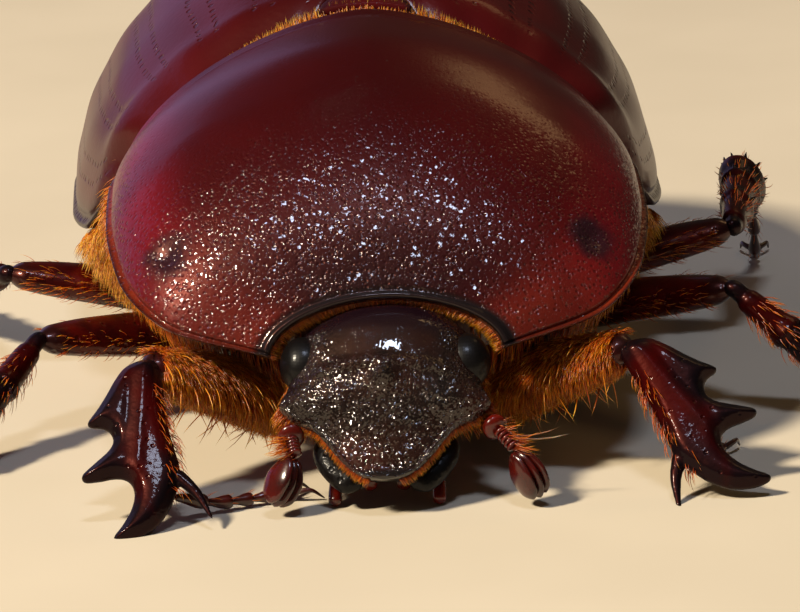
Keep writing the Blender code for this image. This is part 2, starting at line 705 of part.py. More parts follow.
def make_legs(body):
    for name, leg in LEGS.items():
        finish(f"coxa_{name}", solid_of_rings(coxa_rings(leg)), "leg", body)
        finish(f"femur_{name}", solid_of_rings(femur_rings(leg)), "leg", body)
        if name.startswith("front"):
            make_front_tibia(name, leg, body)
        else:
            make_back_tibia(name, leg, body)
        make_tarsus(name, leg, body)


# ---- putting it together ----

def new_empty(name, parent=None):
    made = bpy.data.objects.new(name, None)
    bpy.context.scene.collection.objects.link(made)
    made.parent = parent
    return made


def centre_over_origin(body):
    """Moves the beetle so that the middle of its box is over the origin, feet on Z = 0."""
    bpy.context.view_layer.update()
    graph = bpy.context.evaluated_depsgraph_get()
    corners = []
    for piece in bpy.context.scene.objects:
        if piece.type == "MESH" and not piece.hide_render:
            mesh = piece.evaluated_get(graph).to_mesh()
            corners += [piece.matrix_world @ vertex.co for vertex in mesh.vertices]
    corners = np.array(corners)
    middle = (corners.min(axis=0) + corners.max(axis=0)) / 2
    body.location = (-middle[0], -middle[1], 0.0)


def main():
    for old in list(bpy.data.objects):
        bpy.data.objects.remove(old, do_unlink=True)
    body = new_empty("beetle")
    pivot = new_empty("head_pivot", body)
    pivot.location = Vector(HEAD_PIVOT) * MM
    pivot.rotation_euler = (HEAD_TILT, 0.0, HEAD_TURN)
    make_pronotum(body)
    prosternum = make_prosternum(body)
    make_elytra(body)
    thorax, abdomen = make_trunk(body)
    cut_leg_sockets((prosternum, thorax, abdomen), body)
    make_pygidium(body)
    make_scutellum(body)
    make_head(pivot)
    make_eyes(pivot)
    make_mouth(pivot)
    make_antennae(body)
    make_legs(body)
    centre_over_origin(body)


main()
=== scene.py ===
# %% [markdown]
# # A rhinoceros beetle in Blender
# This script dresses a life-size female rhinoceros beetle, 21 mm long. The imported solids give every
# part its place and its size. Over them this lesson makes the fine shapes and finishes of the real
# animal: polished shell plates, toothed digging legs, leaf-clubbed feelers and amber hair.

# %% Loading the frame
import math
import bmesh
import bpy
import numpy as np
from mathutils import Euler, Matrix, Vector, noise
from mathutils.bvhtree import BVHTree


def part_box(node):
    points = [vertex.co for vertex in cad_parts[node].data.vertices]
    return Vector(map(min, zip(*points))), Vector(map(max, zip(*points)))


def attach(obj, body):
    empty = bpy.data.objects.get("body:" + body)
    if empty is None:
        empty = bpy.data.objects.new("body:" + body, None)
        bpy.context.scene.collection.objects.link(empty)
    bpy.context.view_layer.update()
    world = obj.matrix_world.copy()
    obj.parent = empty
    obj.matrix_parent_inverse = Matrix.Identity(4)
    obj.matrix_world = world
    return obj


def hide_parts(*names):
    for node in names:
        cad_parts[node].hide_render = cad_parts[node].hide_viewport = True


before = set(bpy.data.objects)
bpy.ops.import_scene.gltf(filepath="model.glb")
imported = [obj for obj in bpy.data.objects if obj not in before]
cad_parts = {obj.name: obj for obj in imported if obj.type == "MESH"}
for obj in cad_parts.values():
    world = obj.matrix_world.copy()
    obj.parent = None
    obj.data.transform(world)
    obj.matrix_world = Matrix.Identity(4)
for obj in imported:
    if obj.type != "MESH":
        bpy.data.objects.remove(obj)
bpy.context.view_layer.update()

# %% [markdown]
# Everything below is sized in millimetres in the beetle's own frame: x to its left, y to its rear, z up,
# with y = 0 at the middle of the front margin of the pronotum, the big shield behind the head. The
# pronotum's solid tells where that frame lies, because its lowest front corner is at y = -0.35.

# %% The beetle's own frame
MM = 0.001
CORNER_Y = -0.35
SIDES_OF_BODY = ((1, "left"), (-1, "right"))  # the sign of x on the beetle's own left and right
shield_low, shield_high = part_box("pronotum")
PLACE = Vector(((shield_low[0] + shield_high[0]) / 2, shield_low[1] - CORNER_Y * MM, 0.0))
print("own frame at", PLACE)

# %% [markdown]
# ## Smooth shapes from a few stations
# A shell plate or a leg segment is a smooth body, and a maker describes it with a few stations: a place
# and the sizes there. A curve through them that never overshoots gives every size in between. All the
# points of a piece are worked out together, as one array, so a fine surface costs little time.

# %% Curves through stations
def through(places, values, at):
    """Smooth values at many places, from stations; the curve doesn't overshoot them."""
    places = np.asarray(places, float)
    values = np.asarray(values, float).reshape(len(places), -1)
    at = np.clip(np.asarray(at, float), places[0], places[-1])
    i = np.clip(np.searchsorted(places, at, side="right") - 1, 0, len(places) - 2)
    steps = np.diff(places)
    slopes = np.diff(values, axis=0) / steps[:, None]
    tangents = np.zeros_like(values)
    tangents[0], tangents[-1] = slopes[0], slopes[-1]
    before, after = slopes[:-1], slopes[1:]
    steady = before * after > 0
    tangents[1:-1] = np.where(steady, 2 * before * after / np.where(steady, before + after, 1.0), 0.0)
    s = ((at - places[i]) / steps[i])[:, None]
    h = steps[i][:, None]
    return (values[i] * (2 * s**3 - 3 * s**2 + 1) + values[i + 1] * (3 * s**2 - 2 * s**3)
            + tangents[i] * h * (s**3 - 2 * s**2 + s) + tangents[i + 1] * h * (s**3 - s**2))


def along(points, share):
    """Points at shares 0 to 1 of a smooth route."""
    return through(np.linspace(0.0, 1.0, len(points)), points, share)


def station(rows, at):
    """Reads rows of (place, sizes...) at many places."""
    rows = np.asarray(rows, float)
    return through(rows[:, 0], rows[:, 1:], at)


def unit(vectors):
    return vectors / np.maximum(np.linalg.norm(vectors, axis=-1, keepdims=True), 1e-12)


def hump(distance, middle, width):
    """A soft bump: 1 at the middle distance, fading over the width."""
    return np.exp(-((distance - middle) / width) ** 2)


def ease(value, low, high):
    """0 below low, 1 above high, and smooth between."""
    t = np.clip((value - low) / (high - low), 0.0, 1.0)
    return t * t * (3 - 2 * t)

# %% [markdown]
# Three helpers turn such a rule into a mesh. `sheet` starts from Blender's grid and moves each of its
# corners onto the surface; the grid's own coordinates are kept as a UV map named Plate, so that a
# finish can follow the plate. `raised` lifts a surface along its own normal, for beads, grooves and pits.
# `walled` makes a closed plate of two such sheets, because solidify would fold its inner wall at a bead
# that is narrower than the wall is thick.

# %% From a rule to a mesh
def sheet(bm, columns, rows, place, spread=None):
    """A grid moved onto a surface. place(u, v) takes two arrays from 0 to 1 and gives points.
    spread(u, v) may first crowd the grid's lines together, where the shape needs them."""
    plate = bm.loops.layers.uv.get("Plate") or bm.loops.layers.uv.new("Plate")
    made = bmesh.ops.create_grid(bm, x_segments=columns, y_segments=rows, size=0.5)["verts"]
    flat = np.array([vert.co[:2] for vert in made]) + 0.5
    if spread:
        flat = np.stack(spread(flat[:, 0], flat[:, 1]), axis=1)
    points = place(flat[:, 0], flat[:, 1])
    where = {vert: uv for vert, uv in zip(made, flat)}
    for vert, point in zip(made, points):
        vert.co = point
    for face in {face for vert in made for face in vert.link_faces}:
        for loop in face.loops:
            loop[plate].uv = where[loop.vert]
    return made


def normals_of(surface, u, v, reach=0.004):
    across = surface(np.clip(u + reach, 0, 1), v) - surface(np.clip(u - reach, 0, 1), v)
    down = surface(u, np.clip(v + reach, 0, 1)) - surface(u, np.clip(v - reach, 0, 1))
    return unit(np.cross(across, down))


def raised(surface, height):
    """The surface lifted along its normal by height(u, v, points), in mm."""
    def place(u, v):
        points = surface(u, v)
        return points + normals_of(surface, u, v) * height(u, v, points)[:, None]
    return place


def walled(bm, columns, rows, surface, height, wall, spread):
    """A closed plate: its relief outside, a plainer face wall mm below it, and a rim between their edges."""
    def inner(u, v, points):
        return np.minimum(height(u, v, points), 0) - wall

    for lift in (height, inner):
        sheet(bm, columns, rows, raised(surface, lift), spread)
    edges = [edge for edge in bm.edges if edge.is_boundary]
    rim = set(bmesh.ops.bridge_loops(bm, edges=edges)["faces"])
    plate = bm.loops.layers.uv["Plate"]
    for face in rim:
        for loop in face.loops:
            beside = next(other for other in loop.vert.link_loops if other.face not in rim)
            loop[plate].uv = beside[plate].uv
    bmesh.ops.recalc_face_normals(bm, faces=bm.faces)

# %% [markdown]
# ## Finishes
# Insect shell is sclerotin, a hard tanned protein over chitin, with a thin waxy skin. Its index is about
# 1.56, so a plate reflects like varnished wood: a dark red-brown body colour under a clear coat. Each
# finish is named for the shell that it stands for, and only its pattern goes through nodes. One function
# adds every node, from a table of the kinds that are used.

# %% Colours and nodes
def linear(code):
    """A hex colour such as 5a1014, turned from sRGB to linear."""
    parts = [int(code[k:k + 2], 16) / 255 for k in (0, 2, 4)]
    return tuple(c / 12.92 if c <= 0.04045 else ((c + 0.055) / 1.055) ** 2.4 for c in parts) + (1.0,)


# Each kind of node: Blender's name for it, its settings, the sockets to fill in order, and its output.
SUMS = ("ADD", "SUBTRACT", "MULTIPLY", "MULTIPLY_ADD", "ABSOLUTE", "MINIMUM", "MAXIMUM", "FRACT", "SQRT")
KINDS = {name: ("Math", {"operation": name}, (0, 1, 2), 0) for name in SUMS}
KINDS |= {
    "position": ("TexCoord", {}, (), "Object"),
    "mapping": ("Mapping", {}, ("Vector", "Rotation", "Scale"), "Vector"),
    "plate": ("UVMap", {"uv_map": "Plate"}, (), "UV"),
    "split": ("SeparateXYZ", {}, (0,), 0),
    "attribute": ("Attribute", {}, (), "Fac"),
    "stretched": ("VectorMath", {"operation": "MULTIPLY"}, (0, 1), 0),
    "difference": ("VectorMath", {"operation": "SUBTRACT"}, (0, 1), 0),
    "distance": ("VectorMath", {"operation": "DISTANCE"}, (0, 1), "Value"),
    "dot": ("VectorMath", {"operation": "DOT_PRODUCT"}, (0, 1), "Value"),
    "noise": ("TexNoise", {}, ("Vector", "Scale", "Detail"), "Fac"),
    "cells": ("TexVoronoi", {"feature": "F1"}, ("Vector", "Scale", "Randomness"), "Distance"),
    "ease": ("MapRange", {"interpolation_type": "SMOOTHSTEP"}, ("Value", "From Min", "From Max"), "Result"),
    "ramp": ("ValToRGB", {}, ("Fac",), "Color"),
    "mix": ("Mix", {"data_type": "RGBA"}, (0, 6, 7), 2),
    "darken": ("Mix", {"data_type": "RGBA", "blend_type": "MULTIPLY"}, (0, 6, 7), 2),
    "bump": ("Bump", {}, ("Height", "Distance", "Strength", "Normal"), "Normal")}


def feed(node, values):
    """Fills a node's sockets, each with a value, a hex colour, or a link from the output that is given."""
    for name, value in values.items():
        if isinstance(value, bpy.types.NodeSocket):
            node.id_data.links.new(value, node.inputs[name])
        elif value is not None:
            node.inputs[name].default_value = linear(value) if isinstance(value, str) else value


def add(tree, kind, *inputs, stops=(), **settings):
    """Adds a node of a kind in the table and gives its output. stops are a ramp's places and hex colours."""
    blender_name, always, sockets, output = KINDS[kind]
    node = tree.nodes.new("ShaderNode" + blender_name)
    for name, value in {**always, **settings}.items():
        setattr(node, name, value)
    feed(node, dict(zip(sockets, inputs)))
    if stops:
        band = node.color_ramp
        band.interpolation = "EASE"
        while len(band.elements) < len(stops):
            band.elements.new(0.5)
        for element, (place, code) in zip(band.elements, stops):
            element.position = place
            element.color = linear(code)
    return node.outputs[output]

# %% [markdown]
# Every shell finish starts from the same shader, and its patterns are built from the same few layers:
# patches that vary the colour, round pits, flat facets that sparkle point by point, and a bump that presses
# them into both the shell and its wax. `Coat Normal` is a socket of its own, so the wax can have more relief.

# %% Shell and its patterns
SHELL_INDEX = 1.56
SKIN_SHEEN = 0.30  # the waxy skin takes off part of the gloss that bare sclerotin would have
GLOW_DEPTHS = (0.4, 0.05, 0.02)  # how much deeper red light goes into thin shell than green and blue


def shell(name, roughness, coat, coat_roughness, tint="ffffff", sheen=SKIN_SHEEN, glow=0.0, glow_mm=0.5):
    """A new sclerotin finish; returns the material, its tree, its shader and its coordinates in mm."""
    material = bpy.data.materials.new(name)
    material.use_nodes = True
    tree = material.node_tree
    shader = tree.nodes["Principled BSDF"]
    feed(shader, {"IOR": SHELL_INDEX, "Specular IOR Level": sheen, "Specular Tint": tint,
                  "Roughness": roughness, "Coat Weight": coat, "Coat Roughness": coat_roughness,
                  "Coat IOR": SHELL_INDEX})
    if glow:
        feed(shader, {"Subsurface Weight": glow, "Subsurface Radius": GLOW_DEPTHS,
                      "Subsurface Scale": glow_mm * MM})
    mm = add(tree, "mapping", add(tree, "position"), None, (1 / MM,) * 3)
    return material, tree, shader, mm


def plate_axes(tree):
    """The u and v of the piece's Plate map."""
    axes = add(tree, "split", add(tree, "plate")).node.outputs
    return axes["X"], axes["Y"]


def patches(tree, mm, size, detail=3.0, low=0.35, high=0.7):
    """Soft patches of a size in mm, from 0 to 1."""
    return add(tree, "ease", add(tree, "noise", mm, 1 / size, detail), low, high)


def tinted(tree, colour, share, strength, code):
    """The colour, with a hex colour mixed in by share times strength."""
    if strength != 1.0:
        share = add(tree, "MULTIPLY", share, strength)
    return add(tree, "mix", share, colour, code)


def pits(tree, mm, spacing, size, stretch=(1.0, 1.0, 1.0)):
    """Round pits: 1 on the plain surface, down to 0 in each pit."""
    away = add(tree, "cells", add(tree, "stretched", mm, stretch), 1 / spacing, 0.85)
    return add(tree, "ease", away, size * 0.25, size)


def facets(tree, mm, spacing, slope):
    """Flat facets, each tilted at random: their height in mm, for a surface that sparkles point by point."""
    cell = add(tree, "cells", mm, 1 / spacing).node.outputs
    tilt = add(tree, "difference", cell["Color"], (0.5,) * 3)
    reach = add(tree, "difference", mm, cell["Position"])
    return add(tree, "MULTIPLY", add(tree, "dot", tilt, reach), 2 * slope)


def relief(tree, shader, height, depth, strength=1.0, before=None, layers=("Normal", "Coat Normal")):
    """Bump of a depth in mm on the shell and its wax; returns its normal, so that reliefs can be stacked."""
    normal = add(tree, "bump", height, depth * MM, strength, before)
    feed(shader, dict.fromkeys(layers, normal))
    return normal

# %% [markdown]
# The pronotum and the wing cases are the polished shell: mahogany red with black edges. Pits as fine as
# a hair's root cover the front and sides of the pronotum and fade out towards its rear. They are cell
# patterns at their real spacing, about 0.1 mm, pressed in as bump, with painted shade inside each pit. The
# wax over them is in small flat facets, so that the light breaks up into sparks. The shell is darker round
# the two dents low on its sides.

# %% Polished shield finish
PIT_SPACING = 0.100
PIT_DEPTH = 0.010
PIT_FACET = 0.058
SIDE_PIT = (3.95, 1.17, 4.22)
# From the middle of the shield to its side edge. The brighter red towards the sides is partly the shell's own
# tone and partly a painted sheen.
SHIELD_TONES_AND_SHEEN = ((0.0, "2c0204"), (0.50, "380306"), (0.74, "620812"), (0.90, "620c15"), (0.945, "6c1e12"),
                (0.968, "7a2812"), (0.985, "0e0b0c"))


def shield_colour(tree, mm, v, off_middle):
    """Cherry red, rusty low at the front corners, dusky at the front, darker round the side dents, with
    patches and lip.
    """
    colour = add(tree, "ramp", off_middle, stops=SHIELD_TONES_AND_SHEEN)
    low = add(tree, "ease", v, 0.36, 0.06)
    corners = add(tree, "MULTIPLY", low, add(tree, "ease", off_middle, 0.35, 0.80))
    colour = tinted(tree, colour, corners, 0.80, "581e12")
    front = add(tree, "MULTIPLY", add(tree, "ease", v, 0.34, 0.02), add(tree, "ease", off_middle, 0.75, 0.25))
    colour = tinted(tree, colour, front, 0.95, "170b0d")
    colour = tinted(tree, colour, patches(tree, mm, 1.4), 0.40, "280306")
    # Darker round the two side dents.
    away = []
    for side in (-1, 1):
        centre = (PLACE.x / MM + side * SIDE_PIT[0], PLACE.y / MM + SIDE_PIT[1], SIDE_PIT[2])
        away.append(add(tree, "distance", mm, centre))
    ragged = add(tree, "MULTIPLY_ADD", add(tree, "noise", mm, 1 / 0.5), 0.5, add(tree, "MINIMUM", *away))
    colour = tinted(tree, colour, add(tree, "ease", ragged, 0.90, 0.50), 0.85, "100e16")
    return tinted(tree, colour, add(tree, "ease", v, 0.034, 0.018), 1.0, "131012")


def shield_finish():
    """Tanned shell, polished by soil: dark cherry red, grey-black beads, a rusty band along the sides."""
    material, tree, shader, mm = shell("tanned_shell_shield", 0.35, 0.50, 0.045, "ffa090", 0.18)
    u, v = plate_axes(tree)
    off_middle = add(tree, "ABSOLUTE", add(tree, "MULTIPLY_ADD", u, 2.0, -1.0))
    colour = shield_colour(tree, mm, v, off_middle)
    pit = pits(tree, mm, PIT_SPACING, 0.46)
    small = pits(tree, mm, PIT_SPACING * 0.55, 0.34)
    hammered = add(tree, "noise", mm, 1 / 0.085, 1.5)
    pitted = add(tree, "MAXIMUM", add(tree, "ease", v, 0.62, 0.22), add(tree, "ease", off_middle, 0.55, 0.85))
    pitted = add(tree, "MULTIPLY", pitted, add(tree, "ease", v, 0.012, 0.026))
    deep = add(tree, "MULTIPLY_ADD", pitted, 0.92, 0.08)
    dents = add(tree, "ADD", pit, add(tree, "MULTIPLY", small, 0.45))
    dents = add(tree, "ADD", dents, add(tree, "MULTIPLY", hammered, 0.45))
    height = add(tree, "MULTIPLY", add(tree, "SUBTRACT", dents, 1.67), deep)
    # Painted shade inside each pit, on the base colour.
    hollow = add(tree, "MULTIPLY", add(tree, "SUBTRACT", 1.0, pit), pitted)
    wax = add(tree, "MULTIPLY_ADD", add(tree, "ease", v, 0.30, 0.75), 0.17, 0.05)  # duller towards the rear
    feed(shader, {"Base Color": tinted(tree, colour, hollow, 0.45, "180406"), "Coat Roughness": wax})
    pitted_skin = relief(tree, shader, height, PIT_DEPTH)
    tilted = add(tree, "MULTIPLY", facets(tree, mm, PIT_FACET, 0.17), deep)
    relief(tree, shader, tilted, 1.0, 1.0, pitted_skin, ("Coat Normal",))
    return material


SHIELD = shield_finish()

# %% [markdown]
# The wing cases are smoother. Their pits stand in double rows that run from front to tip, so the rows
# are drawn on the Plate map: u counts rows from the suture outwards and v runs along a row.

# %% Wing case finish
ROWS_ACROSS = 6.5
PITS_ALONG = 52.0
PAIR_HALF = 0.16  # half the gap inside a double row, as a share of the rows' spacing
# From the suture to the outer edge.
CASE_BANDS = ((0.0, "150a0b"), (0.02, "240506"), (0.10, "3a0609"), (0.60, "44080c"), (0.90, "40090c"),
              (0.975, "20080a"), (0.995, "0e090a"))


def off_half(tree, value):
    """How far a value is from one half."""
    return add(tree, "ABSOLUTE", add(tree, "SUBTRACT", value, 0.5))


def wing_case_finish():
    """Tanned shell, waxy: red-brown with a black suture and double rows of shallow pits."""
    material, tree, shader, mm = shell("tanned_shell_wing_case", 0.38, 0.24, 0.14, "ffa090", 0.16)
    u, v = plate_axes(tree)
    colour = tinted(tree, add(tree, "ramp", u, stops=CASE_BANDS), patches(tree, mm, 1.8), 0.4, "2a0608")
    wander = add(tree, "MULTIPLY", add(tree, "SUBTRACT", add(tree, "noise", mm, 1 / 0.9), 0.5), 0.12)
    row = add(tree, "FRACT", add(tree, "ADD", add(tree, "MULTIPLY", u, ROWS_ACROSS), wander))
    beside = add(tree, "ABSOLUTE", add(tree, "SUBTRACT", off_half(tree, row), PAIR_HALF))
    uneven = add(tree, "MULTIPLY", add(tree, "noise", mm, 1 / 0.5), 2.0)
    step = add(tree, "FRACT", add(tree, "ADD", add(tree, "MULTIPLY", v, PITS_ALONG), uneven))
    ahead = add(tree, "MULTIPLY", off_half(tree, step), 0.22)
    squares = [add(tree, "MULTIPLY", value, value) for value in (beside, ahead)]
    pit = add(tree, "ease", add(tree, "SQRT", add(tree, "ADD", *squares)), 0.02, 0.062)
    present = add(tree, "MULTIPLY", add(tree, "ease", v, 0.06, 0.10), add(tree, "ease", v, 0.90, 0.78))
    height = add(tree, "MULTIPLY", add(tree, "SUBTRACT", pit, 1.0), present)
    # The pits are painted darker too: painted shade inside them.
    feed(shader, {"Base Color": tinted(tree, colour, height, -0.5, "1a0606")})
    fine = relief(tree, shader, add(tree, "noise", mm, 1 / 0.12, 3.0), 0.010, 0.5)
    relief(tree, shader, height, 0.022, 0.9, fine)
    return material


WING_CASE = wing_case_finish()

# %% [markdown]
# The head is the rough part of the shell. Close-set grains and wrinkles, about 0.1 mm apart, cover the
# face, and only the crown is smooth. Many small shiny grains catch a light as a scatter of sparks, which
# a single bump pattern with a faceted clear coat over it gives. The mouth edge is thick and nearly black.

# %% Rugged face finish
GRAIN_SPACING = 0.082
GRAIN_FACET = 0.052
GRAIN_SLANT = math.radians(-28)


def face_finish():
    """Tanned shell, rugged: brown-black with shiny grains."""
    material, tree, shader, mm = shell("tanned_shell_face", 0.46, 0.95, 0.045, "ffc4a8", 0.10)
    u, v = plate_axes(tree)
    colour = tinted(tree, "0f0a0b", patches(tree, mm, 0.8, 3.0, 0.35, 0.65), 1.0, "1e0d0a")
    colour = tinted(tree, colour, patches(tree, mm, 1.6, 1.0, 0.5, 0.7), 0.5, "3a1814")
    colour = tinted(tree, colour, add(tree, "ease", v, 0.30, 0.16), 1.0, "15080f")
    colour = tinted(tree, colour, add(tree, "ease", v, 0.93, 0.97), 1.0, "0e0b0c")
    slanted = add(tree, "mapping", mm, (0.0, GRAIN_SLANT, 0.0))
    grains = pits(tree, slanted, GRAIN_SPACING, 0.50, (1.25, 1.0, 0.70))
    wrinkle = add(tree, "noise", slanted, 1 / 0.070, 1.5)
    short_of_mouth = add(tree, "ease", v, 0.985, 0.95)
    below_crown = add(tree, "MULTIPLY", add(tree, "ease", v, 0.16, 0.36), short_of_mouth)
    beside = add(tree, "ease", add(tree, "ABSOLUTE", add(tree, "SUBTRACT", u, 0.25)), 0.075, 0.14)
    rough = add(tree, "MAXIMUM", add(tree, "MULTIPLY", below_crown, add(tree, "ease", v, 0.34, 0.44)),
                add(tree, "MULTIPLY", beside, short_of_mouth))
    rough = add(tree, "MULTIPLY_ADD", rough, 0.95, 0.05)
    height = add(tree, "MULTIPLY", add(tree, "ADD", grains, add(tree, "MULTIPLY", wrinkle, 1.2)), rough)
    # Painted shade in the hollows of the grains, on the base colour.
    between = add(tree, "MULTIPLY", add(tree, "SUBTRACT", 1.0, grains), rough)
    feed(shader, {"Base Color": tinted(tree, colour, between, 0.6, "0a0606")})
    rugged_skin = relief(tree, shader, height, 0.014)
    tilted = add(tree, "MULTIPLY", facets(tree, slanted, GRAIN_FACET, 0.27), rough)
    relief(tree, shader, tilted, 1.0, 1.0, rugged_skin, ("Coat Normal",))
    return material


FACE = face_finish()

# %% [markdown]
# The other finishes are simpler: black horn for jaws, red shell for the legs that lets some light
# through, amber for the palps and feelers, a brown underside, and the dark glassy eye. A little
# subsurface scatter with a red radius is what makes a thin leg glow. The eye's lenses are 0.03 mm apart
# on the animal; they are drawn at 0.055 mm, as coarse as they must be to show.

# %% Leg, horn, palp, belly and eye finishes
LENS_SPACING = 0.055


def leg_finish():
    """Tanned shell, thin and waxy: deep red, darker in patches, with a few shallow pits."""
    material, tree, shader, mm = shell("tanned_shell_leg", 0.34, 0.3, 0.10, "ff9080", glow=0.12)
    u, v = plate_axes(tree)
    colour = tinted(tree, "200203", patches(tree, mm, 0.9, 2.0, 0.35, 0.65), 1.0, "440603")
    ends = add(tree, "MAXIMUM", add(tree, "ease", v, 0.10, 0.0), add(tree, "ease", v, 0.86, 0.98))
    feed(shader, {"Base Color": tinted(tree, colour, ends, 0.85, "120809")})
    fine = relief(tree, shader, add(tree, "noise", mm, 1 / 0.08, 2.0), 0.006, 0.6)
    relief(tree, shader, pits(tree, mm, 0.30, 0.22), 0.025, 0.8, fine)
    return material


def tooth_finish():
    """Digging shin: red in the blade, black at the teeth, told apart by a painted attribute."""
    material, tree, shader, mm = shell("tanned_shell_digging_leg", 0.40, 0.14, 0.07, "ff8070", 0.14, 0.10)
    colour = tinted(tree, "180102", patches(tree, mm, 0.7, 2.0, 0.35, 0.65), 1.0, "2e0101")
    black = add(tree, "attribute", attribute_name="black")
    feed(shader, {"Base Color": tinted(tree, colour, black, 1.0, "06060a")})
    fine = relief(tree, shader, add(tree, "noise", mm, 1 / 0.10, 2.0), 0.008, 0.7)
    relief(tree, shader, pits(tree, mm, 0.21, 0.24), 0.016, 0.8, fine)
    return material


def plain_shell(name, first, second, roughness, coat, spacing, depth, sheen=SKIN_SHEEN, glow=0.0):
    """Shell of one tint with a soft mottle and a fine grain."""
    material, tree, shader, mm = shell(name, roughness, coat, 0.08, "ffffff", sheen, glow, 0.4)
    feed(shader, {"Base Color": tinted(tree, first, patches(tree, mm, 0.6, 3.0, 0.3, 0.7), 1.0, second)})
    fine = relief(tree, shader, add(tree, "noise", mm, 1 / spacing, 3.0), depth, 0.8)
    relief(tree, shader, pits(tree, mm, spacing * 2.5, 0.3), depth, 0.8, fine)
    return material


def eye_finish():
    """A compound eye: thousands of clear lenses over black pigment."""
    material, tree, shader, mm = shell("compound_eye_lenses", 0.45, 0.20, 0.20, sheen=0.10)
    cells = add(tree, "cells", mm, 1 / LENS_SPACING, 0.4)
    feed(shader, {"Base Color": add(tree, "mix", cells, "0e0b0c", "070606")})
    relief(tree, shader, add(tree, "MULTIPLY", cells, -1.0), 0.004, 0.5)
    return material


LEG = leg_finish()
TOOTHED = tooth_finish()
JAW = plain_shell("black_horn_jaw", "050405", "0a0606", 0.44, 0.16, 0.10, 0.020, 0.10)
FOOT = plain_shell("tanned_shell_foot", "220604", "3a0c06", 0.30, 0.35, 0.10, 0.005)
PALP = plain_shell("amber_shell_palp", "3c0804", "5c1006", 0.26, 0.4, 0.12, 0.003, glow=0.25)
CLUB = plain_shell("red_shell_club", "260a08", "480c08", 0.24, 0.5, 0.10, 0.003, glow=0.25)
BELLY = plain_shell("brown_shell_belly", "3a1008", "581c0c", 0.38, 0.3, 0.20, 0.012)
TAIL = plain_shell("brown_shell_tail", "3c0d0b", "54150e", 0.32, 0.4, 0.16, 0.014)
EYE = eye_finish()
print("finishes:", len(bpy.data.materials))

# %% [markdown]
# Every piece ends the same way: its faces are turned outwards, it goes from millimetres in the beetle's
# frame to metres in the world, it rides on the model's one body, and it says which solid it stands for.

# %% Finishing a piece
SCENE = bpy.context.scene


def close_and_turn(bm, gap=2e-4):
    """Welds seams and poles, and turns every face outwards."""
    bmesh.ops.remove_doubles(bm, verts=bm.verts, dist=gap)
    bmesh.ops.recalc_face_normals(bm, faces=bm.faces)


def finish_object(name, mesh, finish, nodes=()):
    """Makes a mesh a piece of the model. nodes are the solids that it replaces."""
    mesh.shade_smooth()
    mesh.materials.append(finish)
    piece = bpy.data.objects.new(name, mesh)
    SCENE.collection.objects.link(piece)
    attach(piece, "root")
    if nodes:
        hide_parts(*nodes)


def place_piece(node, what, bm, finish, matrix=None):
    """Turns a bmesh into the visible piece for a node; matrix first turns what was made straight."""
    if matrix:
        bmesh.ops.transform(bm, matrix=matrix, verts=bm.verts)
    bmesh.ops.scale(bm, vec=(MM, MM, MM), verts=bm.verts)
    bmesh.ops.translate(bm, vec=PLACE, verts=bm.verts)
    mesh = bpy.data.meshes.new(f"{node}_{what}")
    bm.to_mesh(mesh)
    bm.free()
    finish_object(f"{node}_{what}", mesh, finish, (node,))
    print(f"{node}_{what}: {len(mesh.polygons)} faces")

# %% [markdown]
# ## The pronotum
# The pronotum is the big domed shield behind the head. Its solid is a dome between two side edges, so
# the same stations are used here, with far more rows. What makes it a beetle's shield is at the margins:
# a fine bead with a groove along the sides, a thick bead along the front, and a pit low on each side.
# Grid lines are crowded towards the margins, because that is where the shape is small. The inner face
# of the wall leaves the beads out: a wall that followed them would fold, as they are narrower than it.

# %% Pronotum
SHIELD_SIDE = ((2.15, -0.35), (4.05, 0.35), (4.80, 1.65), (5.02, 3.30), (4.98, 4.90), (4.72, 6.45))
SHIELD_CREST = ((0.00, 3.58), (0.90, 4.90), (2.20, 6.10), (3.60, 6.95), (5.00, 7.42), (6.68, 7.55))
SHIELD_RIM = ((-0.50, 2.28), (0.50, 2.90), (1.60, 3.36), (3.30, 3.98), (4.80, 4.30), (6.80, 4.45))
RIM_DEPTH = 0.25
SHIELD_WALL = 0.16
# Beads and grooves of a margin, in mm: how high, how far in from the edge, how wide.
SHIELD_SIDE_BEADS = ((0.075, 0.07, 0.07), (-0.055, 0.24, 0.08))
SHIELD_FRONT_BEADS = ((0.045, 0.05, 0.045), (-0.025, 0.14, 0.05))
SHIELD_REAR_BEADS = ((0.030, 0.08, 0.08), (-0.035, 0.24, 0.07))
HALF_SPAN = 5.2  # mm over the shield from its middle line to a side
SHIELD_SPAN = 7.4  # mm over the shield from front to rear


def beads(distance, rows):
    """The height in mm of a margin's beads and grooves, at a distance from its edge."""
    return sum(height * hump(distance, middle, width) for height, middle, width in rows)


def arched(edge, crest, turn, power):
    """Cross curves from the crest (turn 0) out and down to the edge (turn 1)."""
    angle = turn * math.pi / 2
    out = np.sin(angle) ** power
    up = np.cos(angle).clip(0) ** power
    x = crest[:, 0] + (edge[:, 0] - crest[:, 0]) * out
    y = edge[:, 1] + (crest[:, 1] - edge[:, 1]) * np.cos(angle)
    z = edge[:, 2] + (crest[:, 2] - edge[:, 2]) * up
    return np.stack((x, y, z), axis=1)


def shield_surface(u, v):
    side = along(SHIELD_SIDE, v)
    rim = station(SHIELD_RIM, side[:, 1])[:, 0] + RIM_DEPTH
    crest = np.column_stack((np.zeros(len(v)), along(SHIELD_CREST, v)))
    points = arched(np.column_stack((side, rim)), crest, np.abs(2 * u - 1), 1.05 + 0.21 * v)
    points[:, 0] *= np.sign(2 * u - 1)
    return points


def shield_height(u, v, points):
    """Beads, grooves and the two pits, in mm above the dome."""
    from_side = (1 - np.abs(2 * u - 1)) * HALF_SPAN
    height = beads(from_side, SHIELD_SIDE_BEADS) + beads(v * SHIELD_SPAN, SHIELD_FRONT_BEADS)
    height += beads((1 - v) * SHIELD_SPAN, SHIELD_REAR_BEADS)
    from_pit = np.linalg.norm(np.column_stack((np.abs(points[:, 0]), points[:, 1:])) - SIDE_PIT, axis=1)
    return height - 0.07 * hump(from_pit, 0.0, 0.24)


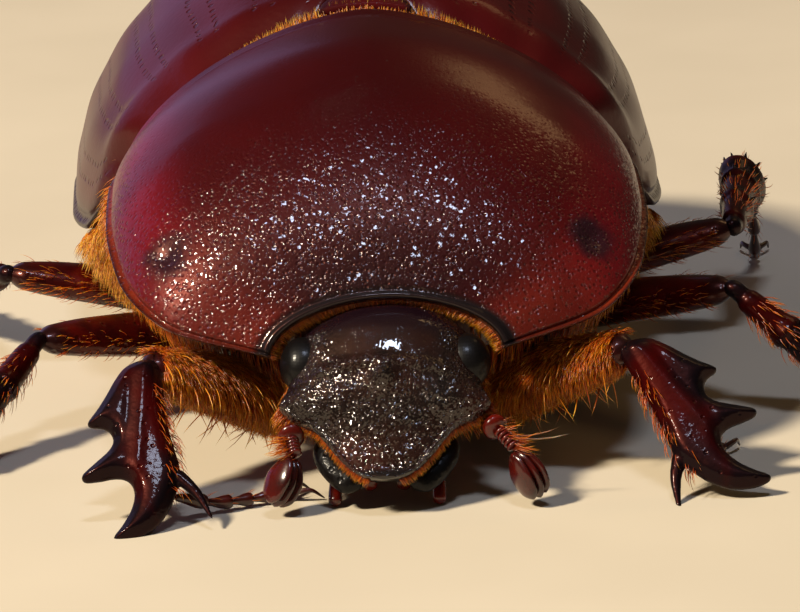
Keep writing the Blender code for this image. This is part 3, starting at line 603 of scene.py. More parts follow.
def crowd_margins(u, v):
    turn = 2 * u - 1
    turn = turn + 0.20 * np.sin(math.pi * turn)
    return (turn + 1) / 2, v * (0.35 + 0.65 * v)


shield = bmesh.new()
walled(shield, 204, 122, shield_surface, shield_height, SHIELD_WALL, crowd_margins)
place_piece("pronotum", "cuticle", shield, SHIELD)

# %% [markdown]
# ## The wing cases and the scutellum
# The elytra are the hardened front wings, which meet in a straight suture. Each is one curved shell, so
# the left one is made and mirrored for the right. A swelling sits at each shoulder and near each tip,
# a narrow raised edge runs down the suture, and the front slopes down to pass under the shield's rear.

# %% Wing cases
CASE_EDGE = ((4.86, 6.62, 4.50), (5.60, 8.60, 2.95), (5.88, 10.80, 2.70), (5.90, 13.20, 2.70),
             (5.45, 15.40, 2.85), (4.10, 17.20, 3.30), (2.10, 18.15, 3.90), (0.16, 18.40, 4.62))
CASE_SUTURE = ((0.98, 6.55, 7.38), (0.06, 8.20, 8.05), (0.06, 10.00, 8.42), (0.06, 12.00, 8.55),
               (0.06, 14.00, 8.28), (0.06, 16.00, 7.40), (0.06, 17.55, 6.05), (0.06, 18.40, 4.80))
TRUNK_ARCH = 1.05
CASE_WALL = 0.22
SUTURE_SHIFT = 0.04  # brings the solids' gap at the suture down to a hair's breadth
CASE_SPAN = 7.4  # mm over a case from the suture to its edge
RIB_HEIGHT = 0.012
FRONT_SLOPE = 0.50  # mm that the cases' front lies lower, under the shield's rear margin
SUTURE_BEADS = ((0.050, 0.09, 0.09), (-0.060, 0.30, 0.10))
CASE_SIDE_BEADS = ((0.060, 0.08, 0.08), (-0.050, 0.26, 0.09))
# The swellings at the shoulder and the tip: how high, where in u, how wide, where in v, how long.
CASE_SWELLINGS = ((0.16, 0.70, 0.075, 0.055, 0.050), (0.10, 0.58, 0.09, 0.84, 0.045))


def case_surface(u, v):
    suture = along(CASE_SUTURE, v) - (SUTURE_SHIFT, 0, 0)
    return arched(along(CASE_EDGE, v), suture, u, TRUNK_ARCH)


def case_height(u, v, points):
    """Sutural edge, side bead, the swellings at the shoulder and the tip, and low ribs between."""
    height = beads(u * CASE_SPAN, SUTURE_BEADS) + beads((1 - u) * CASE_SPAN, CASE_SIDE_BEADS)
    for rise, at_u, wide, at_v, long in CASE_SWELLINGS:
        height += rise * hump(u, at_u, wide) * hump(v, at_v, long)
    inside = ease(u, 0.05, 0.12) * ease(u, 0.98, 0.88) * ease(v, 0.92, 0.74)
    height += RIB_HEIGHT * np.cos(2 * math.pi * ROWS_ACROSS * u) * inside
    height *= ease(u, -0.002, 0.004)
    return height - FRONT_SLOPE * ease(v, 0.100, -0.02)


def crowd_case(u, v):
    spread = 2 * u - 1
    spread = spread + 0.18 * np.sin(math.pi * spread)
    return (spread + 1) / 2, v * (0.6 + 0.4 * v)


def make_case(side):
    bm = bmesh.new()
    walled(bm, 120, 170, case_surface, case_height, CASE_WALL, crowd_case)
    if side < 0:
        bmesh.ops.scale(bm, vec=(-1, 1, 1), verts=bm.verts)
        bmesh.ops.reverse_faces(bm, faces=bm.faces)
    return bm


for side, name in SIDES_OF_BODY:
    place_piece(f"elytron_{name}", "cuticle", make_case(side), WING_CASE)

# %% [markdown]
# The scutellum is the small triangle between the wing cases' bases. It is nearly flat, so it is one sheet
# that narrows in stations and gets its thickness from solidify, which doesn't fold on so plain a shape.

# %% Scutellum
SCUTELLUM_SIDE = ((0.90, 6.80), (0.78, 7.10), (0.50, 7.48), (0.16, 7.86), (0.02, 7.98))
SCUTELLUM_TOP = 7.66
SCUTELLUM_DOME = 0.10
SCUTELLUM_SLOPE = 0.26


def scutellum_surface(u, v):
    side = along(SCUTELLUM_SIDE, v)
    across = 2 * u - 1
    rise = SCUTELLUM_DOME * np.cos(across * math.pi / 2) + SCUTELLUM_SLOPE * (side[:, 1] - 6.86)
    return np.column_stack((side[:, 0] * across, side[:, 1], SCUTELLUM_TOP - SCUTELLUM_DOME + rise))


scutellum = bmesh.new()
sheet(scutellum, 48, 48, scutellum_surface)
bmesh.ops.recalc_face_normals(scutellum, faces=scutellum.faces)
bmesh.ops.solidify(scutellum, geom=scutellum.faces[:], thickness=0.30)
place_piece("scutellum", "cuticle", scutellum, WING_CASE)

# %% [markdown]
# ## The trunk and the tail plate
# Under the shield and the wing cases lie the sternites, the rings of the underside. Each is a tube of
# oval cross sections, so one helper makes them all: a sheet bent round until its long edges meet. The
# ends are drawn in to a point, and close_and_turn welds the seam and the two points.

# %% Tubes
def rounded_ends(share, start=0.06, end=0.06):
    """1 along a tube, and a round fall to 0 at each end, so that it closes in a dome."""
    at_start = np.clip(share / max(start, 1e-9), 0, 1)
    at_end = np.clip((1 - share) / max(end, 1e-9), 0, 1)
    return np.sqrt(1 - (1 - at_start) ** 2) * np.sqrt(1 - (1 - at_end) ** 2)


def wrapped(ring):
    """The skin of a tube as a surface: u goes once round it and v along it."""
    return lambda u, v: ring(2 * math.pi * u, v)


def tube(bm, columns, rows, ring):
    """A closed tube: ring(turn, share) gives points, and draws in to a point at both ends."""
    sheet(bm, columns, rows, wrapped(ring))
    close_and_turn(bm)


def limb_ring(path, stations, across, start=0.06, end=0.06, swell=None):
    """Oval rings along a route. stations are rows of share, half width and half thickness."""
    across = np.asarray(across, float)

    def ring(turn, share):
        ahead = unit(along(path, np.clip(share + 0.01, 0, 1)) - along(path, np.clip(share - 0.01, 0, 1)))
        wide = unit(across - ahead * (ahead @ across)[:, None])
        sizes = station(stations, share) * rounded_ends(share, start, end)[:, None]
        if swell is not None:
            sizes = sizes * (1 + swell(turn, share))[:, None]
        return (along(path, share) + wide * (sizes[:, 0] * np.cos(turn))[:, None]
                + np.cross(ahead, wide) * (sizes[:, 1] * np.sin(turn))[:, None])
    return ring


def limb(bm, path, stations, across, columns, rows, start=0.06, end=0.06, swell=None):
    tube(bm, columns, rows, limb_ring(path, stations, across, start, end, swell))

# %% [markdown]
# The front thorax is a tube that fills the shield from below, and the hind thorax and the abdomen are
# tubes under the wing cases. Their rings follow the cases' edge stations, with the keel of the underside
# below. The sternites overlap like tiles, so each seam has a step. As the cases lie close over the trunk,
# a ray is cast down on the cases at each corner, and what would touch them is lowered.

# %% Underside
KEEL = ((0.50, 1.60), (2.00, 1.30), (4.00, 1.10), (6.00, 0.85), (8.50, 0.50), (11.0, 0.45), (14.0, 0.65),
        (17.5, 1.75))
FRONT_WIDTH = ((0.60, 1.70), (1.10, 2.80), (1.80, 4.15), (2.50, 4.66), (3.70, 4.86), (5.10, 4.82),
               (6.72, 4.45))
THORAX_SEAMS = (9.35,)
STERNITE_SEAMS = (12.75, 13.75, 14.75, 15.70, 16.50)


def front_thorax_ring(turn, share):
    y = 0.60 + 6.12 * share
    draw_in = rounded_ends(share, 0.05, 0.03)
    half = station(FRONT_WIDTH, y)[:, 0] * draw_in
    top = station(SHIELD_RIM, y)[:, 0] + 0.16
    keel = top - 0.12 - (top - 0.12 - station(KEEL, y)[:, 0]) * draw_in
    lift = np.sin(turn)
    deep = np.abs(lift) ** 1.15
    z = np.where(lift > 0, top + 0.9 * deep * draw_in, top - 0.05 - (top - 0.05 - keel) * deep)
    return np.column_stack((half * np.cos(turn), y, z))


def trunk_ring(first, last, taper_start, taper_end):
    """Rings under the wing cases, from one y to another."""
    def ring(turn, share):
        y = first + (last - first) * share
        case_share = np.interp(y, [row[1] for row in CASE_EDGE], np.linspace(0, 1, len(CASE_EDGE)))
        edge = along(CASE_EDGE, case_share) - np.array((0.42, 0, 0))
        crest = along(CASE_SUTURE, case_share)
        waist = np.clip(1 - 0.30 * ease(y, 7.4, 6.2), 0, 1) * rounded_ends(share, taper_start, taper_end)
        lift = np.sin(turn)
        deep = np.maximum(1 - np.abs(np.cos(turn)) ** 2.6, 0) ** 0.70
        up = edge[:, 2] + (crest[:, 2] - 0.85 - edge[:, 2]) * lift * waist
        down = edge[:, 2] - (edge[:, 2] - station(KEEL, y)[:, 0]) * deep * waist
        return np.column_stack((edge[:, 0] * waist * np.cos(turn), y, np.where(lift > 0, up, down)))
    return ring


def grooved(ring, seams, depth=0.07):
    """Sternite edges: each ring's rear margin stands a little over the next one."""
    def place(turn, share):
        points = ring(turn, share)
        y = points[:, 1] - 0.35 * np.abs(np.cos(turn)) ** 2
        step = sum(hump(y, seam + 0.06, 0.05) - 0.45 * hump(y, seam - 0.09, 0.12) for seam in seams)
        points[:, 2] += depth * step * np.clip(-np.sin(turn), 0, 1) ** 0.3
        return points
    return place


def tuck_under(bm, clearance=0.42):
    """Lowers whatever would touch the wing cases, which lie close over the trunk."""
    cover = make_case(1)
    tree = BVHTree.FromBMesh(cover)
    cover.free()
    for vert in bm.verts:
        above = Vector((max(abs(vert.co.x), 0.08), vert.co.y, 20.0))
        hit = tree.ray_cast(above, Vector((0.0, 0.0, -1.0)))[0]
        if hit is not None:
            vert.co.z = min(vert.co.z, hit.z - clearance)


HIND_THORAX_RING = trunk_ring(6.20, 12.35, 0.05, 0.05)
ABDOMEN_RING = trunk_ring(11.60, 17.75, 0.05, 0.12)
front_thorax = bmesh.new()
tube(front_thorax, 160, 110, front_thorax_ring)
place_piece("prosternum", "cuticle", front_thorax, BELLY)
hind_thorax = bmesh.new()
tube(hind_thorax, 160, 110, grooved(HIND_THORAX_RING, THORAX_SEAMS, 0.05))
tuck_under(hind_thorax)
place_piece("hind_thorax", "cuticle", hind_thorax, BELLY)
abdomen = bmesh.new()
tube(abdomen, 160, 160, grooved(ABDOMEN_RING, STERNITE_SEAMS))
tuck_under(abdomen)
place_piece("abdomen", "cuticle", abdomen, BELLY)

# %% [markdown]
# The tail plate, or pygidium, closes the body under the tips of the wing cases. It is a low dome that
# looks backwards, so its rings shrink along an arc, with the upper half higher than the lower one.

# %% Tail plate
TAIL_FRONT = 17.25
TAIL_DEPTH = 1.35
TAIL_HEIGHT = 2.75
TAIL_HALF_WIDTH = 3.30


def tail_ring(turn, share):
    angle = np.clip(share, 0, 1) * math.pi * 0.62 - math.pi * 0.12
    shrink = np.where(share < 0.02, 0.0, np.cos(angle))
    lift = np.sin(turn)
    z = TAIL_HEIGHT + shrink * np.where(lift > 0, 1.50 * np.abs(lift) ** 1.4, 1.15 * lift)
    x = TAIL_HALF_WIDTH * shrink * np.cos(turn)
    return np.column_stack((x, TAIL_FRONT + TAIL_DEPTH * np.sin(angle), z))


tail = bmesh.new()
tube(tail, 128, 80, tail_ring)
tuck_under(tail)
place_piece("pygidium", "cuticle", tail, TAIL)

# %% [markdown]
# ## The head
# The head hangs forward and down on its own tilted axis, so it is modelled straight and then turned as
# one. Its stations run from the neck to the tip of the clypeus, the shovel over the mouth. The rugged
# face is real relief from noise on the fine mesh, and smaller grains are in the finish. A low ridge with
# one small knob crosses the crown, where the male of this beetle has its horn.

# %% Head
HEAD_PIVOT = Vector((0.0, 0.15, 3.25))
HEAD_TILT = Euler((math.radians(50), 0.0, math.radians(-4)), "XYZ")
HEAD_MATRIX = Matrix.Translation(HEAD_PIVOT) @ HEAD_TILT.to_matrix().to_4x4()
HEAD_BACK = -0.30
HEAD_LENGTH = 3.67
HEAD_STATIONS = (
    (-0.30, 0.90, -0.65, -0.12, -1.00), (0.05, 1.30, -0.50, 0.28, -1.25), (0.55, 1.62, -0.35, 0.55, -1.45),
    (1.10, 1.70, -0.25, 0.60, -1.45), (1.50, 1.80, -0.18, 0.58, -1.30), (1.80, 1.93, -0.14, 0.52, -1.10),
    (2.05, 1.74, -0.12, 0.44, -0.85), (2.28, 1.31, -0.10, 0.36, -0.60), (2.52, 1.11, -0.05, 0.27, -0.40),
    (2.82, 0.90, 0.00, 0.19, -0.28), (3.09, 0.67, 0.04, 0.15, -0.20), (3.27, 0.45, 0.08, 0.17, -0.14),
    (3.37, 0.27, 0.12, 0.22, -0.06))  # distance, half width, and the heights of edge, crest and underside
RIDGE = 1.22
KNOB = (1.50, 0.20, 0.20)  # distance, radius and height
CHEEK_HOLLOW = (0.62, 0.26, 1.95, 0.30)
COARSE_WRINKLE = 0.21
FINE_WRINKLE = 0.10


def rugged(points, spacing, octaves=2):
    """Noise at each point, about -1 to 1."""
    return np.array([noise.fractal(Vector(point) / spacing, 1.0, 2.0, octaves) for point in points])


def head_distance(share):
    return HEAD_BACK + HEAD_LENGTH * share


def head_outline(turn, distance, draw_in=1.0):
    """The head's outline without its relief: x, y and z on its own axis."""
    half, edge, crest, under = station(HEAD_STATIONS, distance).T
    lift = np.sin(turn)
    x = half * np.cos(turn) * (1 - 0.12 * np.clip(-lift, 0, 1)) * draw_in
    z = edge + np.where(lift > 0, (crest - edge) * lift, (edge - under) * lift) * draw_in
    return x, -distance, z


def head_features(x, distance, margin_in, lift, upper):
    """The raised clypeus margin, the ridge with its knob, and the hollows beside the face, in mm."""
    rim = hump(margin_in, 0.05, 0.05) * ease(distance, 1.45, 1.75) * (lift > -0.2)
    rim *= ease(distance, 3.40, 3.25)
    tip = 0.030 * hump(distance, 3.30, 0.07) - 0.035 * hump(distance, 3.12, 0.10)
    bowed = distance - 0.10 * np.abs(x) ** 2
    ridge = 0.065 * hump(bowed, RIDGE, 0.11) * ease(np.abs(x), 1.45, 1.1)
    ridge -= 0.015 * hump(bowed, RIDGE + 0.26, 0.13) * ease(np.abs(x), 1.4, 1.0)
    knob = KNOB[2] * np.exp(-(x**2 + (distance - KNOB[0]) ** 2) / KNOB[1] ** 2)
    hollow = 0.03 * hump(np.abs(x), *CHEEK_HOLLOW[:2]) * hump(distance, *CHEEK_HOLLOW[2:])
    return 0.055 * rim + upper * (tip + ridge + knob - hollow)


def head_ring(turn, share):
    distance = head_distance(share)
    x, y, z = head_outline(turn, distance, rounded_ends(share, 0.04, 0.012))
    lift = np.sin(turn)
    upper = ease(lift, -0.05, 0.25)
    margin_in = (1 - np.abs(np.cos(turn))) * station(HEAD_STATIONS, distance)[:, 0]
    points = np.column_stack((x, y, z + head_features(x, distance, margin_in, lift, upper)))
    face = ease(distance, 0.80, 1.15) * ease(np.abs(distance - 3.4), 0.0, 0.1) * upper
    side_face = ease(distance, 0.3, 0.7) * ease(np.abs(x), 1.2, 1.5) * upper
    strength = np.maximum(face, side_face)
    wrinkles = 0.006 * rugged(points, COARSE_WRINKLE, 2) + 0.009 * rugged(points + 7.0, FINE_WRINKLE, 1)
    smooth = 0.006 * upper * (1 - strength)
    points[:, 2] += strength * wrinkles
    points[:, 2] += smooth * rugged(points, 0.5, 1)
    return points


head = bmesh.new()
tube(head, 300, 170, head_ring)
place_piece("head", "cuticle", head, FACE, HEAD_MATRIX)

# %% [markdown]
# The eyes bulge out of the cheeks behind the canthus, the bar that shields them from soil. An eye is a
# faceted ball, flattened towards the head, with a low rim where it meets the shell.

# %% Eyes
EYE_CENTRE = (1.48, -0.92, -0.22)
EYE_HALF_SIZES = (0.45, 0.52, 0.46)
EYE_RIM = (0.03, 0.9, 0.12)  # height, distance from the eye's axis and width, in half sizes

for side, name in SIDES_OF_BODY:
    eye = bmesh.new()
    bmesh.ops.create_icosphere(eye, subdivisions=5, radius=1.0)
    eye.loops.layers.uv.new("Plate")
    for vert in eye.verts:
        vert.co *= 1 + EYE_RIM[0] * hump(math.hypot(vert.co.y, vert.co.z), *EYE_RIM[1:])
    bmesh.ops.scale(eye, vec=EYE_HALF_SIZES, verts=eye.verts)
    bmesh.ops.translate(eye, vec=(side * EYE_CENTRE[0], *EYE_CENTRE[1:]), verts=eye.verts)
    place_piece(f"eye_{name}", "lens", eye, EYE, HEAD_MATRIX)

# %% [markdown]
# ## The mouthparts
# Two blunt jaws stand beside the clypeus, with the four-jointed feelers of the mouth, the palps, beneath
# them. A palp is a row of small swollen joints, and its last joint is the longest. Each joint is a short
# tube with domed ends, set so that it just enters the next.

# %% Jaws and palps
MANDIBLE_PATH = ((1.10, -2.20, -0.66), (1.04, -2.62, -0.54), (0.80, -3.00, -0.48), (0.44, -3.27, -0.44))
MANDIBLE = ((0.0, 0.16, 0.16), (0.2, 0.26, 0.20), (0.5, 0.29, 0.20), (0.8, 0.27, 0.20), (1.0, 0.14, 0.12))
CHIN_PATH = ((0.0, -1.75, -1.52), (0.0, -2.15, -1.24), (0.0, -2.52, -1.04))
CHIN = ((0.0, 0.40, 0.12), (0.5, 0.55, 0.25), (1.0, 0.42, 0.18))
# Each palp's route, and its joints as rows of start, end, root radius and widest radius.
PALPS = {
    "maxillary": (((0.72, -1.95, -1.32), (0.90, -2.40, -1.22), (0.95, -2.90, -0.98), (0.95, -3.44, -0.84)),
                  ((0.0, 0.24, 0.08, 0.11), (0.20, 0.46, 0.08, 0.12), (0.42, 0.62, 0.07, 0.12),
                   (0.58, 1.06, 0.075, 0.125))),
    "labial": (((0.28, -2.66, -0.98), (0.32, -2.90, -0.90), (0.30, -3.12, -0.80)),
               ((0.0, 0.4, 0.06, 0.11), (0.34, 0.66, 0.07, 0.12), (0.6, 1.0, 0.07, 0.13)))}


def mirrored(points, side):
    return [(side * x, y, z) for x, y, z in points]


def jaw_swell(turn, share):
    """The uneven, worn outline of a jaw."""
    return 0.05 * np.cos(3 * turn) * np.sin(9 * share)


for side, name in SIDES_OF_BODY:
    jaw = bmesh.new()
    limb(jaw, mirrored(MANDIBLE_PATH, side), MANDIBLE, (side, -0.6, 0.0), 40, 60, 0.12, 0.14, jaw_swell)
    place_piece(f"mandible_{name}", "horn", jaw, JAW, HEAD_MATRIX)
    for kind, (path, joints) in PALPS.items():
        palp = bmesh.new()
        for start, end, root, wide in joints:
            part = along(mirrored(path, side), start + (end - start) * np.arange(5) / 4)
            sizes = ((0.0, root), (0.35, wide * 0.92), (0.7, wide), (1.0, wide * 0.7))
            rows = [(share, size, size) for share, size in sizes]
            limb(palp, part, rows, (1, 0, 0), 20, 16, 0.10, 0.16)
        place_piece(f"{kind}_palp_{name}", "joints", palp, PALP, HEAD_MATRIX)
chin = bmesh.new()
limb(chin, CHIN_PATH, CHIN, (1, 0, 0), 48, 48, 0.12, 0.12)
place_piece("chin_plate", "cuticle", chin, JAW, HEAD_MATRIX)

# %% [markdown]
# ## The feelers
# A scarab's feeler is an elbowed stalk of small beads that ends in a club of three leaves. The leaves
# are flat ovals on one hinge, slightly fanned. Each leaf is a tube far wider than it is thick.

# %% Feelers
ANTENNAE = {  # root, elbow, end of the stalk and tip of the club
    "right": ((-1.80, -0.82, 1.30), (-1.80, -1.28, 1.34), (-1.75, -1.55, 1.12), (-2.18, -1.80, 0.20)),
    "left": ((1.74, -0.88, 1.38), (1.96, -1.33, 1.36), (2.22, -1.60, 1.10), (2.68, -1.80, 0.16))}
SCAPE = ((0, .12, .12), (.3, .15, .15), (.75, .24, .24), (1, .21, .21))
BEAD = ((0, .09, .09), (.5, .135, .135), (1, .12, .12))
BEAD_REACH = 0.055
BEADS = 5
LEAF_TURN = 52  # degrees that the fan of leaves is turned about the club's axis
LEAF = ((0.0, 0.07, 0.06), (0.2, 0.21, 0.09), (0.5, 0.29, 0.105), (0.8, 0.24, 0.095), (1.0, 0.10, 0.05))


def make_stalk(name, root, elbow, end):
    """The scape from the head to the elbow, and a row of beads from there to the club."""
    stalk = bmesh.new()
    scape = (root, (Vector(root) + Vector(elbow)) / 2 + Vector((0, 0, 0.03)), elbow)
    limb(stalk, scape, SCAPE, (1, 0, 0), 28, 28, 0.1, 0.22)
    ahead = (Vector(end) - Vector(elbow)).normalized()
    for k in range(BEADS):
        middle = Vector(elbow).lerp(Vector(end), (k + 0.55) / BEADS)
        bead = [middle + ahead * step * BEAD_REACH for step in (-1, 0, 1)]
        limb(stalk, bead, BEAD, (1, 0, 0), 20, 10, 0.3, 0.35)
    place_piece(f"antenna_{name}", "beads", stalk, PALP)


def make_club(name, end, tip):
    """Three leaves from one hinge, fanned to both sides of the middle one."""
    club = bmesh.new()
    ahead = (tip - end).normalized()
    aside = ahead.cross(Vector((0, 1, 0))).normalized()
    aside = Matrix.Rotation(math.radians(LEAF_TURN), 3, ahead) @ aside
    thick = aside.cross(ahead)
    for spread in (-1, 0, 1):
        start = end + (tip - end) * 0.06 + thick * 0.09 * spread
        stop = tip - ahead * (0.03 + 0.03 * abs(spread)) + thick * 0.13 * spread + aside * 0.03 * spread
        middle = (start + stop) / 2 + thick * 0.05 * spread
        limb(club, (start, middle, stop), LEAF, aside, 36, 44, 0.10, 0.14)
    place_piece(f"antenna_club_{name}", "leaves", club, CLUB)


for name, (root, elbow, end, tip) in ANTENNAE.items():
    make_stalk(name, root, elbow, end)
    make_club(name, Vector(end), Vector(tip))

# %% [markdown]
# ## The legs
# A beetle's leg has a hip, a small trochanter, a stout thigh, a shin and a jointed foot with two claws.
# The hip segment and the thigh are limbs between stations, and the trochanter overlaps the thigh's root.

# %% Legs: stations, hips and thighs
LEGS = {
    "front_right": dict(
        hip=(-1.75, 1.95, 1.00), knee=(-4.42, -0.05, 2.52), ankle=(-4.38, -2.00, 0.62),
        outward=(-1, 0.10, 0.10),
        foot=((-3.68, -1.60, 0.46), (-3.10, -1.28, 0.28), (-2.45, -0.95, 0.235), (-1.80, -0.68, 0.235))),
    "front_left": dict(
        hip=(1.75, 1.95, 1.00), knee=(4.50, 0.10, 2.45), ankle=(5.88, -1.45, 0.55),
        outward=(1, 0.15, 0.10),
        foot=((5.72, -0.92, 0.42), (5.85, -0.37, 0.235), (6.05, 0.28, 0.235), (6.20, 1.03, 0.235))),
    "middle_right": dict(
        hip=(-2.15, 7.75, 0.92), knee=(-6.50, 4.00, 1.95), ankle=(-8.10, 1.80, 0.50),
        outward=(-0.80, 0, 0.60),
        foot=((-8.30, 1.50, 0.32), (-8.70, 0.85, 0.235), (-9.15, 0.15, 0.235), (-9.50, -0.65, 0.235))),
    "middle_left": dict(
        hip=(2.15, 7.75, 0.92), knee=(6.75, 4.00, 2.40), ankle=(9.05, 3.20, 0.50),
        outward=(0.60, 0, 0.80),
        foot=((9.38, 3.08, 0.32), (10.0, 2.85, 0.235), (10.75, 2.50, 0.235), (11.40, 2.00, 0.235))),
    "hind_right": dict(
        hip=(-2.45, 10.10, 0.80), knee=(-7.25, 9.35, 1.90), ankle=(-8.75, 12.60, 0.62),
        outward=(-0.85, -0.25, 0.45),
        foot=((-8.94, 13.05, 0.32), (-9.15, 13.70, 0.235), (-9.35, 14.60, 0.235), (-9.45, 15.60, 0.235))),
    "hind_left": dict(
        hip=(2.45, 10.10, 0.80), knee=(7.25, 9.30, 2.25), ankle=(7.80, 12.90, 2.30),
        outward=(0.90, -0.20, 0.40),
        foot=((8.08, 13.60, 1.76), (8.13, 14.08, 1.08), (8.20, 14.75, 0.36), (8.28, 15.60, 0.235)))}
COXA = ((0.0, 0.25, 0.18), (0.2, 0.50, 0.30), (0.7, 0.55, 0.32), (1.0, 0.28, 0.20))
FEMUR = ((0.0, 0.26, 0.24), (0.12, 0.42, 0.32), (0.45, 0.58, 0.38), (0.75, 0.50, 0.34), (0.93, 0.34, 0.27),
         (1.0, 0.20, 0.18))
TROCHANTER = ((0, .22, .20), (.5, .40, .33), (1, .30, .24))
TROCHANTER_REACHES = (0.02, 0.30, 0.62)
THIGH_ACROSS = (0, 1, 0.15)


def thigh_route(leg):
    """The thigh's start, middle and end, and its direction."""
    hip, knee = np.array(leg["hip"]), np.array(leg["knee"])
    ahead = unit(knee - hip)
    start, stop = hip + ahead * 0.10, knee + ahead * 0.02
    return (start, (start + stop) / 2 + np.array((0, 0, 0.05)), stop), ahead


def make_hip_and_thigh(name, leg):
    hip = np.array(leg["hip"])
    side = np.sign(hip[0])
    inner = np.array((side * 0.45, hip[1] + 0.15, hip[2] + 0.02))
    outer = np.array((hip[0] - side * 0.10, hip[1] + 0.02, hip[2]))
    coxa = bmesh.new()
    limb(coxa, (inner, (inner + outer) / 2, outer), COXA, (0, 1, 0), 40, 40, 0.12, 0.14)
    place_piece(f"coxa_{name}", "cuticle", coxa, LEG)
    route, ahead = thigh_route(leg)
    thigh = bmesh.new()
    limb(thigh, route, FEMUR, THIGH_ACROSS, 56, 90, 0.06, 0.07)
    trochanter = [route[0] + ahead * reach for reach in TROCHANTER_REACHES]
    limb(thigh, trochanter, TROCHANTER, THIGH_ACROSS, 32, 20, 0.2, 0.3)
    place_piece(f"femur_{name}", "cuticle", thigh, LEG)


for name, leg in LEGS.items():
    make_hip_and_thigh(name, leg)

# %% [markdown]
# The front shins dig: each is a flat blade with three broad black teeth on its outer edge and a spur.
# Teeth, spines and claws are horns: short limbs, thick at the root, bent a little and drawn to a tip.
# Teeth that grow out of a shin have no seam, so overlapping limbs are melted into one skin by a voxel
# remesh, which is then smoothed a little. The remesh loses the Plate map, so where the shell turns black
# is kept as a painted attribute: a number from 0, red, to 1, black, by how near a tooth or the knee is.

# %% Horns, melting and paint
VOXEL = 0.032
FRONT_TIBIA = ((0.0, 0.22, 0.20), (0.10, 0.30, 0.26), (0.40, 0.44, 0.26), (0.75, 0.60, 0.26),
               (0.95, 0.60, 0.22), (1.0, 0.42, 0.18))
BACK_TIBIA = ((0.0, 0.20, 0.18), (0.08, 0.28, 0.24), (0.30, 0.34, 0.28), (0.38, 0.42, 0.34),
              (0.42, 0.36, 0.29), (0.68, 0.42, 0.33), (0.75, 0.53, 0.40), (0.79, 0.46, 0.35),
              (0.97, 0.62, 0.46), (1.0, 0.56, 0.42))


def leg_axes(leg):
    """The shin's start, end, direction and outer side."""
    knee, ankle = np.array(leg["knee"]), np.array(leg["ankle"])
    ahead = unit(ankle - knee)
    out = np.array(leg["outward"], float)
    out = unit(out - ahead * (out @ ahead))
    return knee + ahead * 0.28, ankle, ahead, out


def horn(bm, root, tip, radius, across, bend=(0, 0, 0), flatness=1.0, columns=16, rows=20, tip_radius=0.2):
    root, tip = np.asarray(root), np.asarray(tip)
    sizes = [(share, radius * size, radius * size * flatness)
             for share, size in ((0, 1), (0.45, 0.70), (0.85, 0.34), (1.0, tip_radius))]
    limb(bm, (root, (root + tip) / 2 + np.asarray(bend), tip), sizes, across, columns, rows, 0.12, 0.10)


def melted(bm, voxel, smooths):
    """One skin over overlapping limbs: a voxel remesh, then smoothing. Works in mm."""
    mesh = bpy.data.meshes.new("melting")
    bm.to_mesh(mesh)
    bm.free()
    holder = bpy.data.objects.new("melting", mesh)
    SCENE.collection.objects.link(holder)
    remesh = holder.modifiers.new("remesh", "REMESH")
    remesh.mode = "VOXEL"
    remesh.voxel_size = voxel
    soften = holder.modifiers.new("soften", "SMOOTH")
    soften.iterations = smooths
    soften.factor = 0.5
    bpy.context.view_layer.update()
    graph = bpy.context.evaluated_depsgraph_get()
    result = bmesh.new()
    result.from_mesh(holder.evaluated_get(graph).to_mesh())
    bpy.data.objects.remove(holder, do_unlink=True)
    bpy.data.meshes.remove(mesh)
    return result


def paint_black(bm, tips, reach, fade, joint, joint_reach=0.30):
    """Writes the attribute black, by distance from the teeth's tips and from the knee."""
    layer = bm.verts.layers.float.new("black")
    where = np.array([vert.co for vert in bm.verts])
    near = np.min([np.linalg.norm(where - tip, axis=1) for tip in tips], axis=0)
    from_joint = np.linalg.norm(where - joint, axis=1)
    black = np.maximum(1 - ease(near, reach, reach + fade),
                       1 - ease(from_joint, joint_reach * 0.6, joint_reach * 1.6))
    for vert, value in zip(bm.verts, black):
        vert[layer] = value


def on_the_floor(bm):
    """Lifts to the floor whatever would reach through it."""
    for vert in bm.verts:
        vert.co.z = max(vert.co.z, 0.0)

# %% [markdown]
# A front shin starts as its outline, a smooth closed line with the three teeth in it. The outline is
# filled and extruded to a slab and given an even skin by the remesh. Then each point is thinned by how
# near the outline it lies, so that the blade gets a round edge, with a ridge and a groove along it.

# %% Front shins
BLADE_OUTLINE = (
    (-0.36, -0.12), (-0.34, 0.12), (-0.20, 0.38), (0.08, 0.58), (0.34, 0.72), (0.62, 0.89), (0.90, 1.08),
    (0.99, 1.02), (1.02, 0.84), (1.11, 0.69), (1.30, 0.63), (1.50, 0.73), (1.73, 0.98), (1.97, 1.22),
    (2.10, 1.17), (2.10, 0.92), (2.06, 0.60), (2.14, 0.38), (2.38, 0.29), (2.70, 0.36), (3.00, 0.53),
    (3.24, 0.70), (3.34, 0.60), (3.28, 0.26), (3.07, -0.08), (2.76, -0.32), (2.46, -0.45), (2.18, -0.54),
    (1.89, -0.55), (1.55, -0.48), (1.17, -0.40), (0.70, -0.35), (0.18, -0.32), (-0.22, -0.28))
BLADE_TEETH = ((0.96, 1.05), (2.05, 1.20), (3.30, 0.64))
BLADE_THICKNESS = 0.25
EDGE_ROUNDING = 0.36


def closed_curve(points, between=8):
    """A smooth closed line through points, by Catmull and Rom's rule."""
    points = np.asarray(points, float)
    t = (np.arange(between) / between)[:, None]
    before, after, beyond = np.roll(points, 1, 0), np.roll(points, -1, 0), np.roll(points, -2, 0)
    pieces = []
    for o, p, q, r in zip(before, points, after, beyond):
        bend, swing = 2 * o - 5 * p + 4 * q - r, 3 * p - o - 3 * q + r
        pieces.append(0.5 * (2 * p + (q - o) * t + bend * t**2 + swing * t**3))
    return np.concatenate(pieces)


